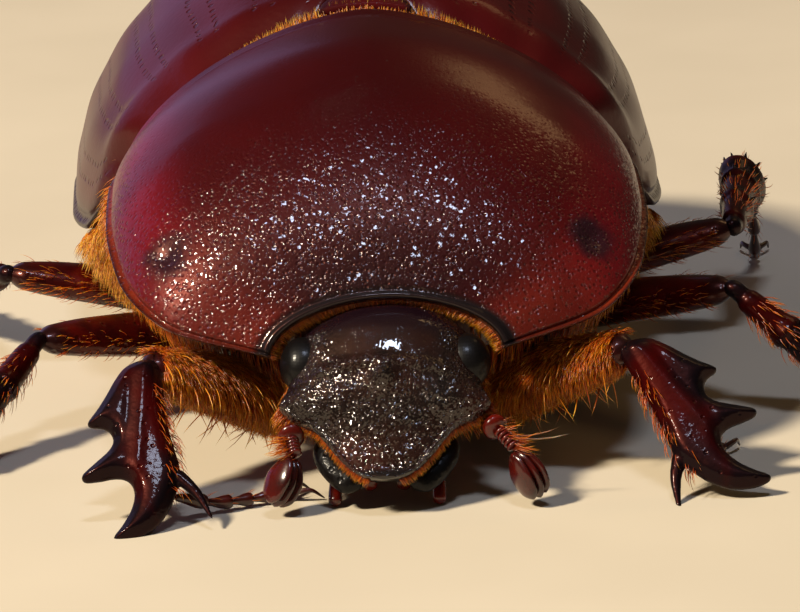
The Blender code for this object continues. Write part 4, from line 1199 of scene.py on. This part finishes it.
def distance_to(line, points):
    """How far each point is from a closed line, in the plane."""
    step = np.roll(line, -1, 0) - line
    share = ((points[:, None] - line) * step).sum(2) / (step**2).sum(1)
    nearest = line + np.clip(share, 0, 1)[..., None] * step
    return np.linalg.norm(points[:, None] - nearest, axis=2).min(axis=1)


def blade_slab(line):
    """The outline as a slab with an even skin."""
    blade = bmesh.new()
    bottom = blade.faces.new([blade.verts.new((x, y, -BLADE_THICKNESS)) for x, y in line])
    made = bmesh.ops.extrude_face_region(blade, geom=[bottom])["geom"]
    top = [part for part in made if isinstance(part, bmesh.types.BMVert)]
    bmesh.ops.translate(blade, vec=(0, 0, 2 * BLADE_THICKNESS), verts=top)
    bmesh.ops.recalc_face_normals(blade, faces=blade.faces)
    bmesh.ops.triangulate(blade, faces=blade.faces)
    return melted(blade, VOXEL * 0.9, 0)


def make_front_shin(name, leg):
    start, end, ahead, out = leg_axes(leg)
    face = np.cross(out, ahead)
    line = closed_curve(BLADE_OUTLINE)
    slab = blade_slab(line)
    flat = np.array([vert.co for vert in slab.verts])
    inside = distance_to(line, flat[:, :2])
    round_edge = BLADE_THICKNESS * np.sqrt(1 - (1 - np.clip(inside / EDGE_ROUNDING, 0, 1)) ** 2)
    thick = np.minimum(round_edge, 1.05 * inside + 0.04) / BLADE_THICKNESS
    slanted = flat[:, 1] - 0.10 * flat[:, 0]
    lines = 0.028 * hump(slanted, 0.02, 0.12) * ease(flat[:, 0], 2.9, 2.0)
    lines -= 0.022 * hump(slanted, 0.26, 0.09) * ease(flat[:, 0], 2.2, 1.4)
    scale = thick * (1 + lines / BLADE_THICKNESS * np.clip(inside / 0.2, 0, 1))
    bend = 0.10 * (flat[:, 0] / 3.3) ** 2
    for vert, (x, y, z), share, lift in zip(slab.verts, flat, scale, bend):
        vert.co = Vector(start + ahead * x + out * y + face * (z * share - lift))
    root = start + ahead * 2.00 - out * 0.42
    tip = start + ahead * 3.02 - out * 1.10
    horn(slab, root, tip, 0.15, out, -out * 0.06 - ahead * 0.06, 0.8, 16, 30, 0.22)
    shin = melted(slab, VOXEL * 0.9, 3)
    on_the_floor(shin)
    teeth = [start + ahead * x + out * y for x, y in BLADE_TEETH]
    paint_black(shin, teeth + [tip, (root + tip) / 2], 0.66, 0.50, np.array(leg["knee"]), 0.34)
    place_piece(f"tibia_{name}", "cuticle", shin, TOOTHED)

# %% [markdown]
# The other shins are round. Each has two slanting crests of spines, a wreath of them at its end, and two
# long spurs. A short neck joins the shin to its socket in the thigh, where the knee bends.

# %% Other shins
KNEE_NECK = ((0, .14, .13), (.5, .19, .17), (1, .20, .18))
# Rings of spines: where on the shin, how many, the first angle, and the angle from one to the next.
SPINE_RINGS = ((0.38, 5, -30, 240 / 4), (0.75, 7, -30, 240 / 6), (0.985, 9, -70, 320 / 9))
LOWEST_SPINE = 0.06


def make_back_shin(name, leg):
    start, end, ahead, out = leg_axes(leg)
    broad = np.cross(out, ahead)
    shin = bmesh.new()
    limb(shin, (start - ahead * 0.12, (start + end) / 2, end), BACK_TIBIA, broad, 40, 72, 0.06, 0.03)
    knee = np.array(leg["knee"])
    socket = knee - unit(knee - np.array(leg["hip"])) * 0.14
    limb(shin, (socket, knee, start + ahead * 0.12), KNEE_NECK, broad, 24, 20, 0.2, 0.2)
    tips = []
    for share, count, first, step in SPINE_RINGS:
        half, thick = station(BACK_TIBIA, np.array([share]))[0]
        centre = start + ahead * np.linalg.norm(end - start) * share
        for angle in np.radians(first + step * np.arange(count)):
            aside, above = broad * math.cos(angle), out * math.sin(angle)
            root = centre + (aside * half + above * thick) * 0.72
            tip = root + (aside + above) * 0.20 + ahead * 0.26
            if tip[2] > LOWEST_SPINE:
                horn(shin, root, tip, 0.075, broad, (0, 0, 0), 1.0, 10, 10, 0.35)
                tips.append(tip)
    for spread in (-1, 1):
        root = end - ahead * 0.25 - out * 0.15 - broad * 0.36 * spread
        tip = root + ahead * 0.95 - out * 0.10 - broad * 0.12 * spread
        tip[2] = max(tip[2], 0.08)
        horn(shin, root, tip, 0.10, out, (0, 0, 0), 1.0, 14, 24, 0.3)
        tips.append(tip)
    skin = melted(shin, VOXEL, 2)
    paint_black(skin, tips, 0.20, 0.25, knee)
    place_piece(f"tibia_{name}", "cuticle", skin, TOOTHED)


for name, leg in LEGS.items():
    (make_front_shin if name.startswith("front") else make_back_shin)(name, leg)

# %% [markdown]
# The foot, or tarsus, is five small joints that widen towards their ends, and two curved claws with a
# tiny pad between them. It is slimmer than its solid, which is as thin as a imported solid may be, and it
# is let down so that it still touches the floor.

# %% Feet
TARSUS_JOINTS = 5
SOLID_FOOT_RADIUS = 0.235
FOOT_RADIUS = 0.145
FLOOR_CLEARANCE = 0.012
FOOT_DROP = SOLID_FOOT_RADIUS - FOOT_RADIUS - FLOOR_CLEARANCE
JOINT_SIZES = (1.0, 0.92, 0.88, 0.86, 0.80)
JOINT = ((0, .42), (.30, .62), (.80, 1.0), (1.0, .8))
JOINT_OVERLAP = 0.02


def lowered_foot(leg):
    """The foot's route, let down to the floor where it is near it, and joined to the shin."""
    route = np.array(leg["foot"], float)
    route[:, 2] -= FOOT_DROP * ease(route[:, 2], 1.2, 0.3)
    route[0] = route[0] * 0.6 + np.array(leg["ankle"]) * 0.4
    return route


def make_foot(name, leg):
    route = lowered_foot(leg)
    foot = bmesh.new()
    for k, size in enumerate(JOINT_SIZES):
        begin, end = k / TARSUS_JOINTS, min((k + 1) / TARSUS_JOINTS + JOINT_OVERLAP, 1.0)
        sizes = [(share, *(FOOT_RADIUS * size * wide,) * 2) for share, wide in JOINT]
        limb(foot, along(route, np.linspace(begin, end, 5)), sizes, (0, 0, 1), 24, 26, 0.10, 0.10)
    end = route[-1]
    ahead = unit(end - route[-2])
    aside = unit(np.cross(ahead, (0, 0, 1)))
    for spread in (-1, 1):
        root = end - ahead * 0.10 + aside * 0.05 * spread
        tip = end + ahead * 0.50 + aside * 0.30 * spread
        root[2] = max(root[2], 0.10)
        tip[2] = max(0.03, tip[2] - 0.12)
        horn(foot, root, tip, 0.065, (0, 0, 1), aside * 0.08 * spread + (0, 0, 0.13), 1.0, 14, 28, 0.18)
    horn(foot, end - ahead * 0.05, end + ahead * 0.20, 0.04, (0, 0, 1), (0, 0, 0), 1.0, 10, 10, 0.5)
    on_the_floor(foot)
    place_piece(f"tarsus_{name}", "joints", foot, FOOT)


for name, leg in LEGS.items():
    make_foot(name, leg)

# %% [markdown]
# ## The hair
# Amber setae fringe every gap of the shell, and hang as a dense beard from the front thighs and throat.
# A seta is a stiff tapering rod about 0.02 mm thick. Each is made here as a curved three-sided rod, and
# thousands are joined as arrays into one mesh per coat, because a loop of operators would take minutes.
# The UV map OFBake gives each seta a small patch at its root's place on the skin, for baked colours.

# %% Setae
def seta_finish(name, *tints):
    """Amber keratin-like chitin, translucent: dark at the root, and painted brighter towards the tip as a
    glow of light through it.
    """
    material = bpy.data.materials.new(name)
    material.use_nodes = True
    tree = material.node_tree
    outward, tone = [add(tree, "attribute", attribute_name=title) for title in ("outward", "tone")]
    # The ramp's brighter tips are a painted glow.
    colour = add(tree, "ramp", outward, stops=tuple(zip((0.0, 0.45, 1.0), tints)))
    darker = add(tree, "darken", 1.0, colour, "8a5a48")
    feed(tree.nodes["Principled BSDF"], {
        "IOR": SHELL_INDEX, "Roughness": 0.30, "Base Color": add(tree, "mix", tone, darker, colour),
        "Subsurface Weight": 0.35, "Subsurface Radius": (1.0, 0.35, 0.06), "Subsurface Scale": 0.05 * MM})
    return material


AMBER = seta_finish("amber_setae", "6a2204", "d05c04", "f0961a")
# A brighter copy of the amber: a painted glow, for hair that the sun shines through.
SUNLIT_AMBER = seta_finish("amber_setae_painted_sunlit", "b05408", "ec8c18", "ffbc50")
PALE = seta_finish("pale_seta", "b0763a", "e0c094", "f4e6cc")
SIDES = 3
RINGS = 4
CORNERS = SIDES * RINGS + 1  # of one seta: its rings and its tip
TAPER = 0.75
ROOT_DEPTH = 0.03  # mm under the skin, so that no root shows its open end
PATCH = 0.003  # the size of one seta's patch on the bake map
coat_triangles = []


def seta_faces():
    """The triangles of one seta: a closed root, its sides, and the faces that meet at its tip."""
    faces = [(2, 1, 0)]
    for ring in range(RINGS - 1):
        for k in range(SIDES):
            a, b = ring * SIDES + k, ring * SIDES + (k + 1) % SIDES
            faces += [(a, b, b + SIDES), (a, b + SIDES, a + SIDES)]
    last = (RINGS - 1) * SIDES
    faces += [(last + k, last + (k + 1) % SIDES, CORNERS - 1) for k in range(SIDES)]
    return np.array(faces)


def coat(name, slot, roots, normals, lies, lengths, skin_uv, finish, radius, rise, droop, seed):
    """Joins setae into one mesh. A seta leaves along the normal and bends over into its lie."""
    rng = np.random.default_rng(seed)
    count = len(roots)
    lengths = np.broadcast_to(np.asarray(lengths, float), count)[:, None]
    start = unit(normals * rise + lies * (1 - rise) + rng.normal(0, 0.10, (count, 3)))
    stop = unit(lies + normals * rise * 0.35 + rng.normal(0, 0.14, (count, 3)) + np.array((0, 0, -droop)))
    aside = unit(np.cross(stop, normals + rng.normal(0, 0.05, (count, 3))))
    other = unit(np.cross(stop, aside))
    shares = np.linspace(0, 1, RINGS + 1)[:-1]
    thick = radius * rng.uniform(0.75, 1.25, count)
    points = []
    for share in shares:
        bent = share**2 / 2
        centre = roots - normals * ROOT_DEPTH + start * (share - bent) * lengths + stop * bent * lengths
        size = (thick * (1 - TAPER * share))[:, None]
        for k in range(SIDES):
            angle = 2 * math.pi * k / SIDES
            points.append(centre + (aside * math.cos(angle) + other * math.sin(angle)) * size)
    points.append(roots - normals * ROOT_DEPTH + (start * 0.5 + stop * 0.5) * lengths)
    points = np.stack(points, axis=1)
    points[..., 2] = np.maximum(points[..., 2], 0.0)
    faces = (seta_faces()[None] + (np.arange(count) * CORNERS)[:, None, None]).reshape(-1, 3)
    mesh = bpy.data.meshes.new(name)
    mesh.from_pydata((points.reshape(-1, 3) * MM + np.array(PLACE)).tolist(), [], faces.tolist())
    outward = np.append(np.repeat(shares, SIDES), 1.0)
    tone = np.repeat(rng.uniform(0, 1, count), CORNERS)
    for title, values in (("outward", np.tile(outward, count)), ("tone", tone)):
        mesh.attributes.new(title, "FLOAT", "POINT").data.foreach_set("value", values.astype(np.float32))
    round_seta = np.append(np.tile(np.arange(SIDES) / SIDES, RINGS), 0.5)
    spots = np.column_stack(skin_uv)[:, None, :] % 1.0 * 0.99 + PATCH
    spots = (spots + np.stack((round_seta, outward), axis=1)[None] * PATCH).reshape(-1, 2)
    bake = mesh.uv_layers.new(name="OFBake")
    bake.data.foreach_set("uv", spots[faces.reshape(-1)].astype(np.float32).reshape(-1))
    finish_object(name, mesh, finish)
    coat_triangles.append(len(faces))
    print(f"{name}: {count} setae, {len(faces)} triangles")

# %% [markdown]
# A coat grows on a skin, which is a surface of u and v again. Roots are scattered over it at random, some
# are left out by a rule, and each seta lies in a common direction, laid flat on the skin at its root.

# %% Growing a coat
def facing_out(surface, u, v, inside):
    """Points of a surface, and its normals there, turned away from what is inside."""
    points = surface(u, v)
    normals = normals_of(surface, u, v, 0.006)
    normals[np.einsum("ij,ij->i", normals, points - inside) < 0] *= -1
    return points, normals


def lying(normals, direction):
    """The direction laid flat on the skin."""
    direction = np.broadcast_to(np.asarray(direction, float), normals.shape)
    return unit(direction - normals * np.einsum("ij,ij->i", direction, normals)[:, None])


def grow(name, slot, skin, count, u_range, v_range, keep, middle, lie, length, finish, radius, rise, droop,
         seed, rng=None, shorten=0.0):
    """Scatters roots on a skin, keeps those that keep(points, u, normals) picks, and grows a coat on them.
    shorten is the share of its length that a seta loses from v = 0 to v = 1."""
    places = np.random.default_rng(seed)
    u = places.uniform(*u_range, count)
    v = places.uniform(*v_range, count)
    points, normals = facing_out(skin, u, v, middle(u, v))
    chosen = keep(points, u, normals)
    points, normals, u, v = points[chosen], normals[chosen], u[chosen], v[chosen]
    rng = rng or np.random.default_rng(seed)
    lengths = rng.uniform(*length, len(points)) * (1 - shorten * v)
    coat(name, slot, points, normals, lying(normals, lie), lengths, (u, v), finish, radius, rise, droop, seed)
    return rng


def midline(skin, height):
    """The middle of the trunk at a height in mm, beside each place on its skin."""
    return lambda u, v: skin(u, v) * (0, 1, 0) + (0, 0, height)

# %% [markdown]
# The fringes grow from under the margins of the shield. At the front they close the gap round the neck,
# and at the rear they fill the joint to the wing cases. Their roots are on the margin's inner side, so
# only their outer halves show.

# %% Fringes of the shield
SHIELD_INSIDE = np.array((0.0, 4.0, 2.0))


def margin(rng, count, reach, at, edge, before_edge):
    """Places along a margin of the shield, their normals, and the way that leads off the plate."""
    u = 0.5 + rng.uniform(-0.5, 0.5, count) * reach
    v = np.full(count, at)
    points, normals = facing_out(shield_surface, u, v, SHIELD_INSIDE)
    off = unit(shield_surface(u, np.full(count, edge)) - shield_surface(u, np.full(count, before_edge)))
    return (u, v), points, normals, off


def neck_fringe(count, seed):
    rng = np.random.default_rng(seed)
    skin_uv, points, normals, forward = margin(rng, count, 0.98, 0.004, 0.0, 0.03)
    roots = points - normals * rng.uniform(0.15, 0.26, count)[:, None] - forward * 0.05
    inward = unit(forward * 0.8 - normals * rng.uniform(0.2, 0.7, count)[:, None])
    lengths = rng.uniform(0.18, 0.32, count)
    coat("neck_fringe", "pronotum", roots, forward, inward, lengths, skin_uv, AMBER, 0.012, 0.3, 0.05, seed)


def rear_fringe(count, seed):
    rng = np.random.default_rng(seed)
    skin_uv, points, normals, backward = margin(rng, count, 0.94, 0.995, 1.0, 0.97)
    roots = points - normals * rng.uniform(0.10, 0.20, count)[:, None]
    roots = roots + backward * rng.uniform(0.0, 0.14, count)[:, None]
    near_middle = ease(np.abs(2 * skin_uv[0] - 1), 0.52, 0.20)
    lengths = rng.uniform(0.34, 0.46, count) * (0.34 + 0.66 * near_middle)
    # Painted bright, as if the sun shone through the fringe.
    coat("rear_fringe", "pronotum", roots, unit(backward * 0.3 + normals), unit(backward + normals * 0.6),
         lengths, skin_uv, SUNLIT_AMBER, 0.012, 0.4, 0.0, seed)


neck_fringe(3000, 11)
rear_fringe(2400, 12)

# %% [markdown]
# The beard is the densest coat. It covers the front thighs and the throat on either side of the head,
# and all of it hangs down and a little forward. A few stouter bristles stand out of it. The throat's coat
# goes on behind the corners of the shield, where bare shell would show above the front legs.

# %% Beard
def thigh_skin(leg):
    """A thigh's skin, its middle line and its direction."""
    route, ahead = thigh_route(leg)
    ring = limb_ring(route, FEMUR, THIGH_ACROSS, 0.06, 0.07)
    return wrapped(ring), (lambda u, v: along(route, v)), ahead
# Every piece ends the same way: its faces are turned outwards, it goes from millimetres in the beetle's frame
# to metres in the world, it rides on the model's one body, and the solid that it stands for is hidden.


def beard(name, seed):
    skin, middle, ahead = thigh_skin(LEGS[name])
    side = np.sign(LEGS[name]["hip"][0])
    rng = grow(f"beard_{name}", f"femur_{name}", skin, 9000, (0, 1), (0.05, 0.93),
               lambda points, u, normals: normals[:, 1] < 0.45, middle, (0.10 * side, -0.35, -1.0),
               (0.28, 0.62), AMBER, 0.013, 0.45, 0.35, seed, shorten=0.35)
    # The bristles are painted bright, as if the sun shone through them.
    grow(f"beard_bristles_{name}", f"femur_{name}", skin, 90, (0, 1), (0.1, 0.95),
         lambda points, u, normals: normals[:, 1] < 0.0, middle, (0.25 * side, -0.5, -1.0),
         (0.7, 1.0), SUNLIT_AMBER, 0.020, 0.45, 0.25, seed + 1, rng)


def on_the_throat(points, u, normals):
    return (points[:, 1] < 6.7) & (np.abs(points[:, 0]) > 0.3)


beard("front_right", 21)
beard("front_left", 23)
throat = wrapped(front_thorax_ring)
grow("throat_beard", "prosternum", throat, 8900, (0.47, 1.03), (0.02, 0.985), on_the_throat,
     midline(throat, 2.6), (0.0, -0.45, -1.0), (0.35, 0.75), AMBER, 0.0145, 0.5, 0.3, 25)

# %% [markdown]
# Behind the shield, tufts painted bright as if the sun shone through them stand out from the sides of the
# middle thorax under the shoulders of the wing cases, and short rows of hair cross the underside and the
# tail. Each rule below says where.

# %% Thorax, belly and tail hair
EDGE_Y = [row[1] for row in CASE_EDGE]
EDGE_Z = [row[2] for row in CASE_EDGE]


def under_the_case(points, u, normals):
    """The flanks: below the wing case's edge, above the belly, ragged towards the rear."""
    x, y, z = np.abs(points[:, 0]), points[:, 1], points[:, 2]
    rear = 9.9 + 0.7 * np.sin(z * 9.0) * np.cos(y * 7.0 + z * 23.0)
    return (z < np.interp(y, EDGE_Y, EDGE_Z) - 0.10) & (z > 1.2) & (x > 3.0) & (y < rear)


def between_the_flanks(points, u, normals):
    return np.abs(points[:, 0]) < 5.2


def before_each_seam(points, u, normals):
    y = points[:, 1] - 0.35 * np.abs(np.cos(2 * math.pi * u)) ** 2
    return np.min([np.abs(y - seam + 0.30) for seam in STERNITE_SEAMS], axis=0) < 0.07


thorax, belly, tail_skin = wrapped(HIND_THORAX_RING), wrapped(ABDOMEN_RING), wrapped(tail_ring)
# The side tufts are painted bright, as if the sun shone through them.
for name, slot, skin, count, v_range, keep, lie, length, finish, radius, rise, seed in (
        ("side_tufts", "hind_thorax", thorax, 25500, (0.02, 0.66), under_the_case, (0.0, -0.8, -0.5),
         (0.50, 1.15), SUNLIT_AMBER, 0.015, 1.15, 31),
        ("thorax_hair", "hind_thorax", thorax, 3800, (0.10, 0.92), between_the_flanks, (0.0, 0.9, -0.3),
         (0.30, 0.65), AMBER, 0.012, 0.5, 33),
        ("belly_rows", "abdomen", belly, 9000, (0.05, 0.93), before_each_seam, (0.0, 1.0, -0.1),
         (0.25, 0.45), AMBER, 0.011, 0.35, 35)):
    grow(name, slot, skin, count, (0.45, 1.05), v_range, keep, midline(skin, 3.6), lie, length, finish,
         radius, rise, 0.1, seed)
grow("tail_hair", "pygidium", tail_skin, 1000, (0, 1), (0.25, 0.9), lambda points, u, normals: slice(None),
     lambda u, v: (0, TAIL_FRONT, TAIL_HEIGHT), (0, 0.3, -1), (0.15, 0.30), AMBER, 0.009, 0.4, 0.1, 37)

# %% [markdown]
# The mouth is bordered by stiff hair under the clypeus and along the jaws, and softer hair hangs from the
# cheeks. Both are placed on the head's own straight axis and turned with it, as the head was.

# %% Mouth and cheek hair
TO_BODY = np.array(HEAD_MATRIX.to_3x3())
HEAD_AT = np.array(HEAD_MATRIX.translation)


def head_coat(name, rng, turn, share, normals, lies, length, radius, rise, droop, seed):
    """A coat on the head's outline. The last axes of normals and lies may be given as single numbers."""
    count = len(turn)
    normals = np.column_stack([np.broadcast_to(value, count) for value in normals])
    lies = np.column_stack([np.broadcast_to(value, count) for value in lies])
    roots = np.column_stack(head_outline(turn, head_distance(share))) @ TO_BODY.T + HEAD_AT
    coat(name, "head", roots, unit(normals) @ TO_BODY.T, unit(lies) @ TO_BODY.T,
         rng.uniform(*length, count), (turn / (2 * math.pi), share), AMBER, radius, rise, droop, seed)


def mouth_setae(count, seed):
    """Roots just inside the clypeus margin, on its underside, and on the outer side of each jaw."""
    rng = np.random.default_rng(seed)
    share = rng.uniform(0.50, 0.995, count)
    turn = np.where(rng.uniform(0, 1, count) < 0.5, rng.uniform(-0.50, -0.12, count),
                    math.pi + rng.uniform(0.12, 0.50, count))
    head_coat("mouth_setae", rng, turn, share, (np.cos(turn), -0.2, -0.9),
              (np.cos(turn) * 0.55, -0.9, -0.45), (0.08, 0.20), 0.009, 0.3, 0.0, seed)


def cheek_hair(count, seed):
    """The sides and underside of the head behind the mouth."""
    rng = np.random.default_rng(seed)
    share = rng.uniform(0.10, 0.62, count)
    turn = rng.uniform(math.pi * 1.02, math.pi * 1.98, count)
    head_coat("cheek_hair", rng, turn, share, (np.cos(turn), 0.0, np.sin(turn)),
              (np.cos(turn) * 0.3, -1.0, -0.2), (0.25, 0.50), 0.011, 0.5, 0.1, seed)


mouth_setae(1500, 41)
cheek_hair(2600, 43)

# %% [markdown]
# The feelers carry a fan of setae at the elbow, two of them long and pale. They are placed along the
# straight lines from root to elbow and from elbow to club.

# %% Feeler setae
def feeler_setae(name, count, seed):
    root, elbow, end, tip = (np.array(point) for point in ANTENNAE[name])
    rng = np.random.default_rng(seed)
    share = rng.uniform(0, 1, count)[:, None]
    on_scape = root + (elbow - root) * share / 0.4
    centre = np.where(share < 0.4, on_scape, elbow + (end - elbow) * (share - 0.4) / 0.6)
    side = np.sign(root[0])
    normals = unit(np.column_stack([sign * rng.uniform(low, high, count)
                                    for sign, low, high in ((side, -0.1, 1), (1, -1, 0.2), (1, -0.7, 0.4))]))
    forward, upward = rng.uniform(-0.5, 0.1, count), rng.uniform(-0.5, 0.3, count)
    lies = unit(np.column_stack((np.full(count, side), forward, upward)))
    skin_uv = (rng.uniform(0, 1, count), share[:, 0])
    coat(f"antenna_setae_{name}", f"antenna_{name}", centre + normals * 0.14, normals, lies,
         rng.uniform(0.20, 0.5, count), skin_uv, AMBER, 0.011, 0.5, 0.0, seed)


def long_seta(seed):
    """Two pale setae at the left elbow, side by side."""
    root = np.array(ANTENNAE["left"][1]) + (0.12, -0.05, -0.14)
    coat("antenna_long_seta", "antenna_left", np.array([root, root + (0.02, 0, 0.02)]),
         np.array([(1.0, -0.2, -0.5)] * 2), np.array([(1.0, -0.1, 0.30), (1.0, -0.1, 0.34)]), (1.25, 1.1),
         ((0.5, 0.51), (0.5, 0.5)), PALE, 0.026, 0.35, -0.1, seed)


feeler_setae("right", 110, 45)
feeler_setae("left", 110, 47)
long_seta(47)

# %% [markdown]
# The shins, feet and thighs carry single bristles that feel the soil. Each is placed from the same
# stations as the shell under it, and points along the leg.

# %% Leg bristles
BRISTLES_ROUND = 8  # at the end of each joint of a foot


def shin_bristles(name, rng, seed):
    """Bristles on the inner side of a front shin, and all round the others."""
    start, end, ahead, out = leg_axes(LEGS[name])
    broad = np.cross(out, ahead)
    front = name.startswith("front")
    count = 130 if front else 260
    share = rng.uniform(0.06, 0.97, count)
    half, thick = station(FRONT_TIBIA if front else BACK_TIBIA, share)[:, :2].T[..., None] * 0.92
    turns = (math.pi * 0.65, math.pi * 1.35) if front else (0, 2 * math.pi)
    turn = rng.uniform(*turns, count)
    first, second = (out, broad) if front else (broad, out)
    first, second = np.cos(turn)[:, None] * first, np.sin(turn)[:, None] * second
    roots = start + ahead * (share * np.linalg.norm(end - start))[:, None] + first * half + second * thick
    coat(f"tibia_bristles_{name}", f"tibia_{name}", roots, unit(first + second),
         np.broadcast_to(ahead, roots.shape), rng.uniform(0.20, 0.50, count), (turn / (2 * math.pi), share),
         AMBER, 0.012, 0.55, 0.05, seed)


def foot_bristles(name, rng, seed):
    """A ring of bristles at the end of each joint, without those that would go into the floor."""
    foot = LEGS[name]["foot"]
    knots = np.repeat((np.arange(TARSUS_JOINTS) + 0.85) / TARSUS_JOINTS, BRISTLES_ROUND)
    centre = along(foot, knots) - (0, 0, FOOT_DROP)
    travel = unit(along(foot, np.clip(knots + 0.02, 0, 1)) - along(foot, np.clip(knots - 0.02, 0, 1)))
    spin = np.tile(np.arange(BRISTLES_ROUND) / BRISTLES_ROUND * 2 * math.pi, TARSUS_JOINTS)
    aside = unit(np.cross(travel, (0, 0, 1.0)))
    normals = aside * np.cos(spin)[:, None] + np.cross(aside, travel) * np.sin(spin)[:, None]
    free = (centre + normals * 0.30 + travel * 0.2)[:, 2] > 0.03
    coat(f"tarsus_bristles_{name}", f"tarsus_{name}", (centre + normals * 0.11)[free], normals[free],
         travel[free], rng.uniform(0.18, 0.30, int(free.sum())), (spin[free] / (2 * math.pi), knots[free]),
         AMBER, 0.010, 0.5, 0.0, seed)


def thigh_hair(name, seed):
    """A sparse fringe along the middle and hind thighs."""
    skin, middle, ahead = thigh_skin(LEGS[name])
    grow(f"femur_hair_{name}", f"femur_{name}", skin, 900, (0, 1), (0.05, 0.92),
         lambda points, u, normals: np.abs(normals[:, 1]) > 0.55, middle, ahead, (0.2, 0.45), AMBER,
         0.011, 0.55, 0.15, seed)


for number, name in enumerate(LEGS):
    rng = np.random.default_rng(51 + number)
    shin_bristles(name, rng, 51 + number)
    foot_bristles(name, rng, 51 + number)
    if not name.startswith("front"):
        thigh_hair(name, 61 + number)
print("hair triangles", sum(coat_triangles))

# %% [markdown]
# ## Floor, light and camera
# The beetle stands on a plain painted board. The light is that of a low sun and an open sky: a small warm
# panel for the sun, a cool one above the face, a broad blue one behind and a faint warm one to the side.
# The world is nearly dark, so that the panels alone make the highlights.

# %% Floor and lights
LIGHT_AIM = Vector((0.0, -0.006, 0.004))
BOARD_MARK_MM = 9.0  # the size of the board's faint clouds


def make_floor():
    bm = bmesh.new()
    bmesh.ops.create_grid(bm, x_segments=8, y_segments=8, size=1.5)
    mesh = bpy.data.meshes.new("floor")
    bm.to_mesh(mesh)
    bm.free()
    material = bpy.data.materials.new("matt_painted_board")
    material.use_nodes = True
    tree = material.node_tree
    mm = add(tree, "mapping", add(tree, "position"), None, (1 / MM,) * 3)
    colour = add(tree, "mix", patches(tree, mm, BOARD_MARK_MM, 3.0, 0.3), "cabea8", "d0c4ae")
    feed(tree.nodes["Principled BSDF"], {"Base Color": colour, "Roughness": 0.9, "Specular IOR Level": 0.2})
    mesh.materials.append(material)
    floor = bpy.data.objects.new("floor", mesh)
    SCENE.collection.objects.link(floor)


def panel(name, aim, distance, width, height, power, colour):
    """A soft rectangular lamp that looks at the beetle's shield. aim is the direction towards it."""
    lamp = bpy.data.lights.new(name, "AREA")
    lamp.shape = "RECTANGLE"
    lamp.size, lamp.size_y = width, height
    lamp.energy = power
    lamp.color = linear(colour)[:3]
    holder = bpy.data.objects.new(name, lamp)
    away = Vector(aim).normalized()
    holder.location = LIGHT_AIM + away * distance
    holder.rotation_euler = (-away).to_track_quat("-Z", "Y").to_euler()
    SCENE.collection.objects.link(holder)


make_floor()
panel("sun_panel", (-0.61, -0.37, 0.70), 0.30, 0.034, 0.034, 1.50, "fff0d6")
panel("sky_panel", (0.02, -0.33, 0.945), 0.25, 0.040, 0.028, 0.17, "d8e4ff")
panel("blue_sky_panel", (-0.62, 0.72, 0.30), 0.35, 0.40, 0.22, 0.16, "c0b0f4")
panel("warm_wall_panel", (0.415, 0.578, 0.705), 0.35, 0.11, 0.07, 0.045, "ffcf90")

world = bpy.data.worlds.new("studio")
SCENE.world = world
world.use_nodes = True
feed(world.node_tree.nodes["Background"], {"Color": "e8d8bc", "Strength": 0.05})
SCENE.view_settings.view_transform = "Standard"

# %% [markdown]
# A long lens from a low angle, 100 mm in front of the face, shows the head and the shield as a macro
# lens would. The camera's three axes are worked out from its two angles and its roll.

# %% Camera
AZIMUTH, ELEVATION, ROLL = math.radians(1.6), math.radians(15.0), math.radians(2.0)
DISTANCE = 100.0
TARGET = Vector((0.3, 0.5, 3.27))
LENS = 245.25
ahead = Vector((math.sin(AZIMUTH) * math.cos(ELEVATION), math.cos(AZIMUTH) * math.cos(ELEVATION),
                -math.sin(ELEVATION)))
right = Vector((math.cos(AZIMUTH), -math.sin(AZIMUTH), 0))
up = right.cross(ahead)
right_turned = right * math.cos(ROLL) - up * math.sin(ROLL)
up_turned = up * math.cos(ROLL) + right * math.sin(ROLL)
camera_data = bpy.data.cameras.new("camera")
camera_data.sensor_width = 36.0
camera_data.lens = LENS
camera_data.clip_start = 0.001
camera_data.clip_end = 10.0
camera = bpy.data.objects.new("camera", camera_data)
turn = Matrix((right_turned, up_turned, -ahead)).transposed().to_4x4()
camera.matrix_world = Matrix.Translation((TARGET - ahead * DISTANCE) * MM + PLACE) @ turn
SCENE.collection.objects.link(camera)
SCENE.camera = camera
print("camera at", camera.matrix_world.translation)

# %% [markdown]
# Last, the view layer is updated.

# %% Last update
bpy.context.view_layer.update()
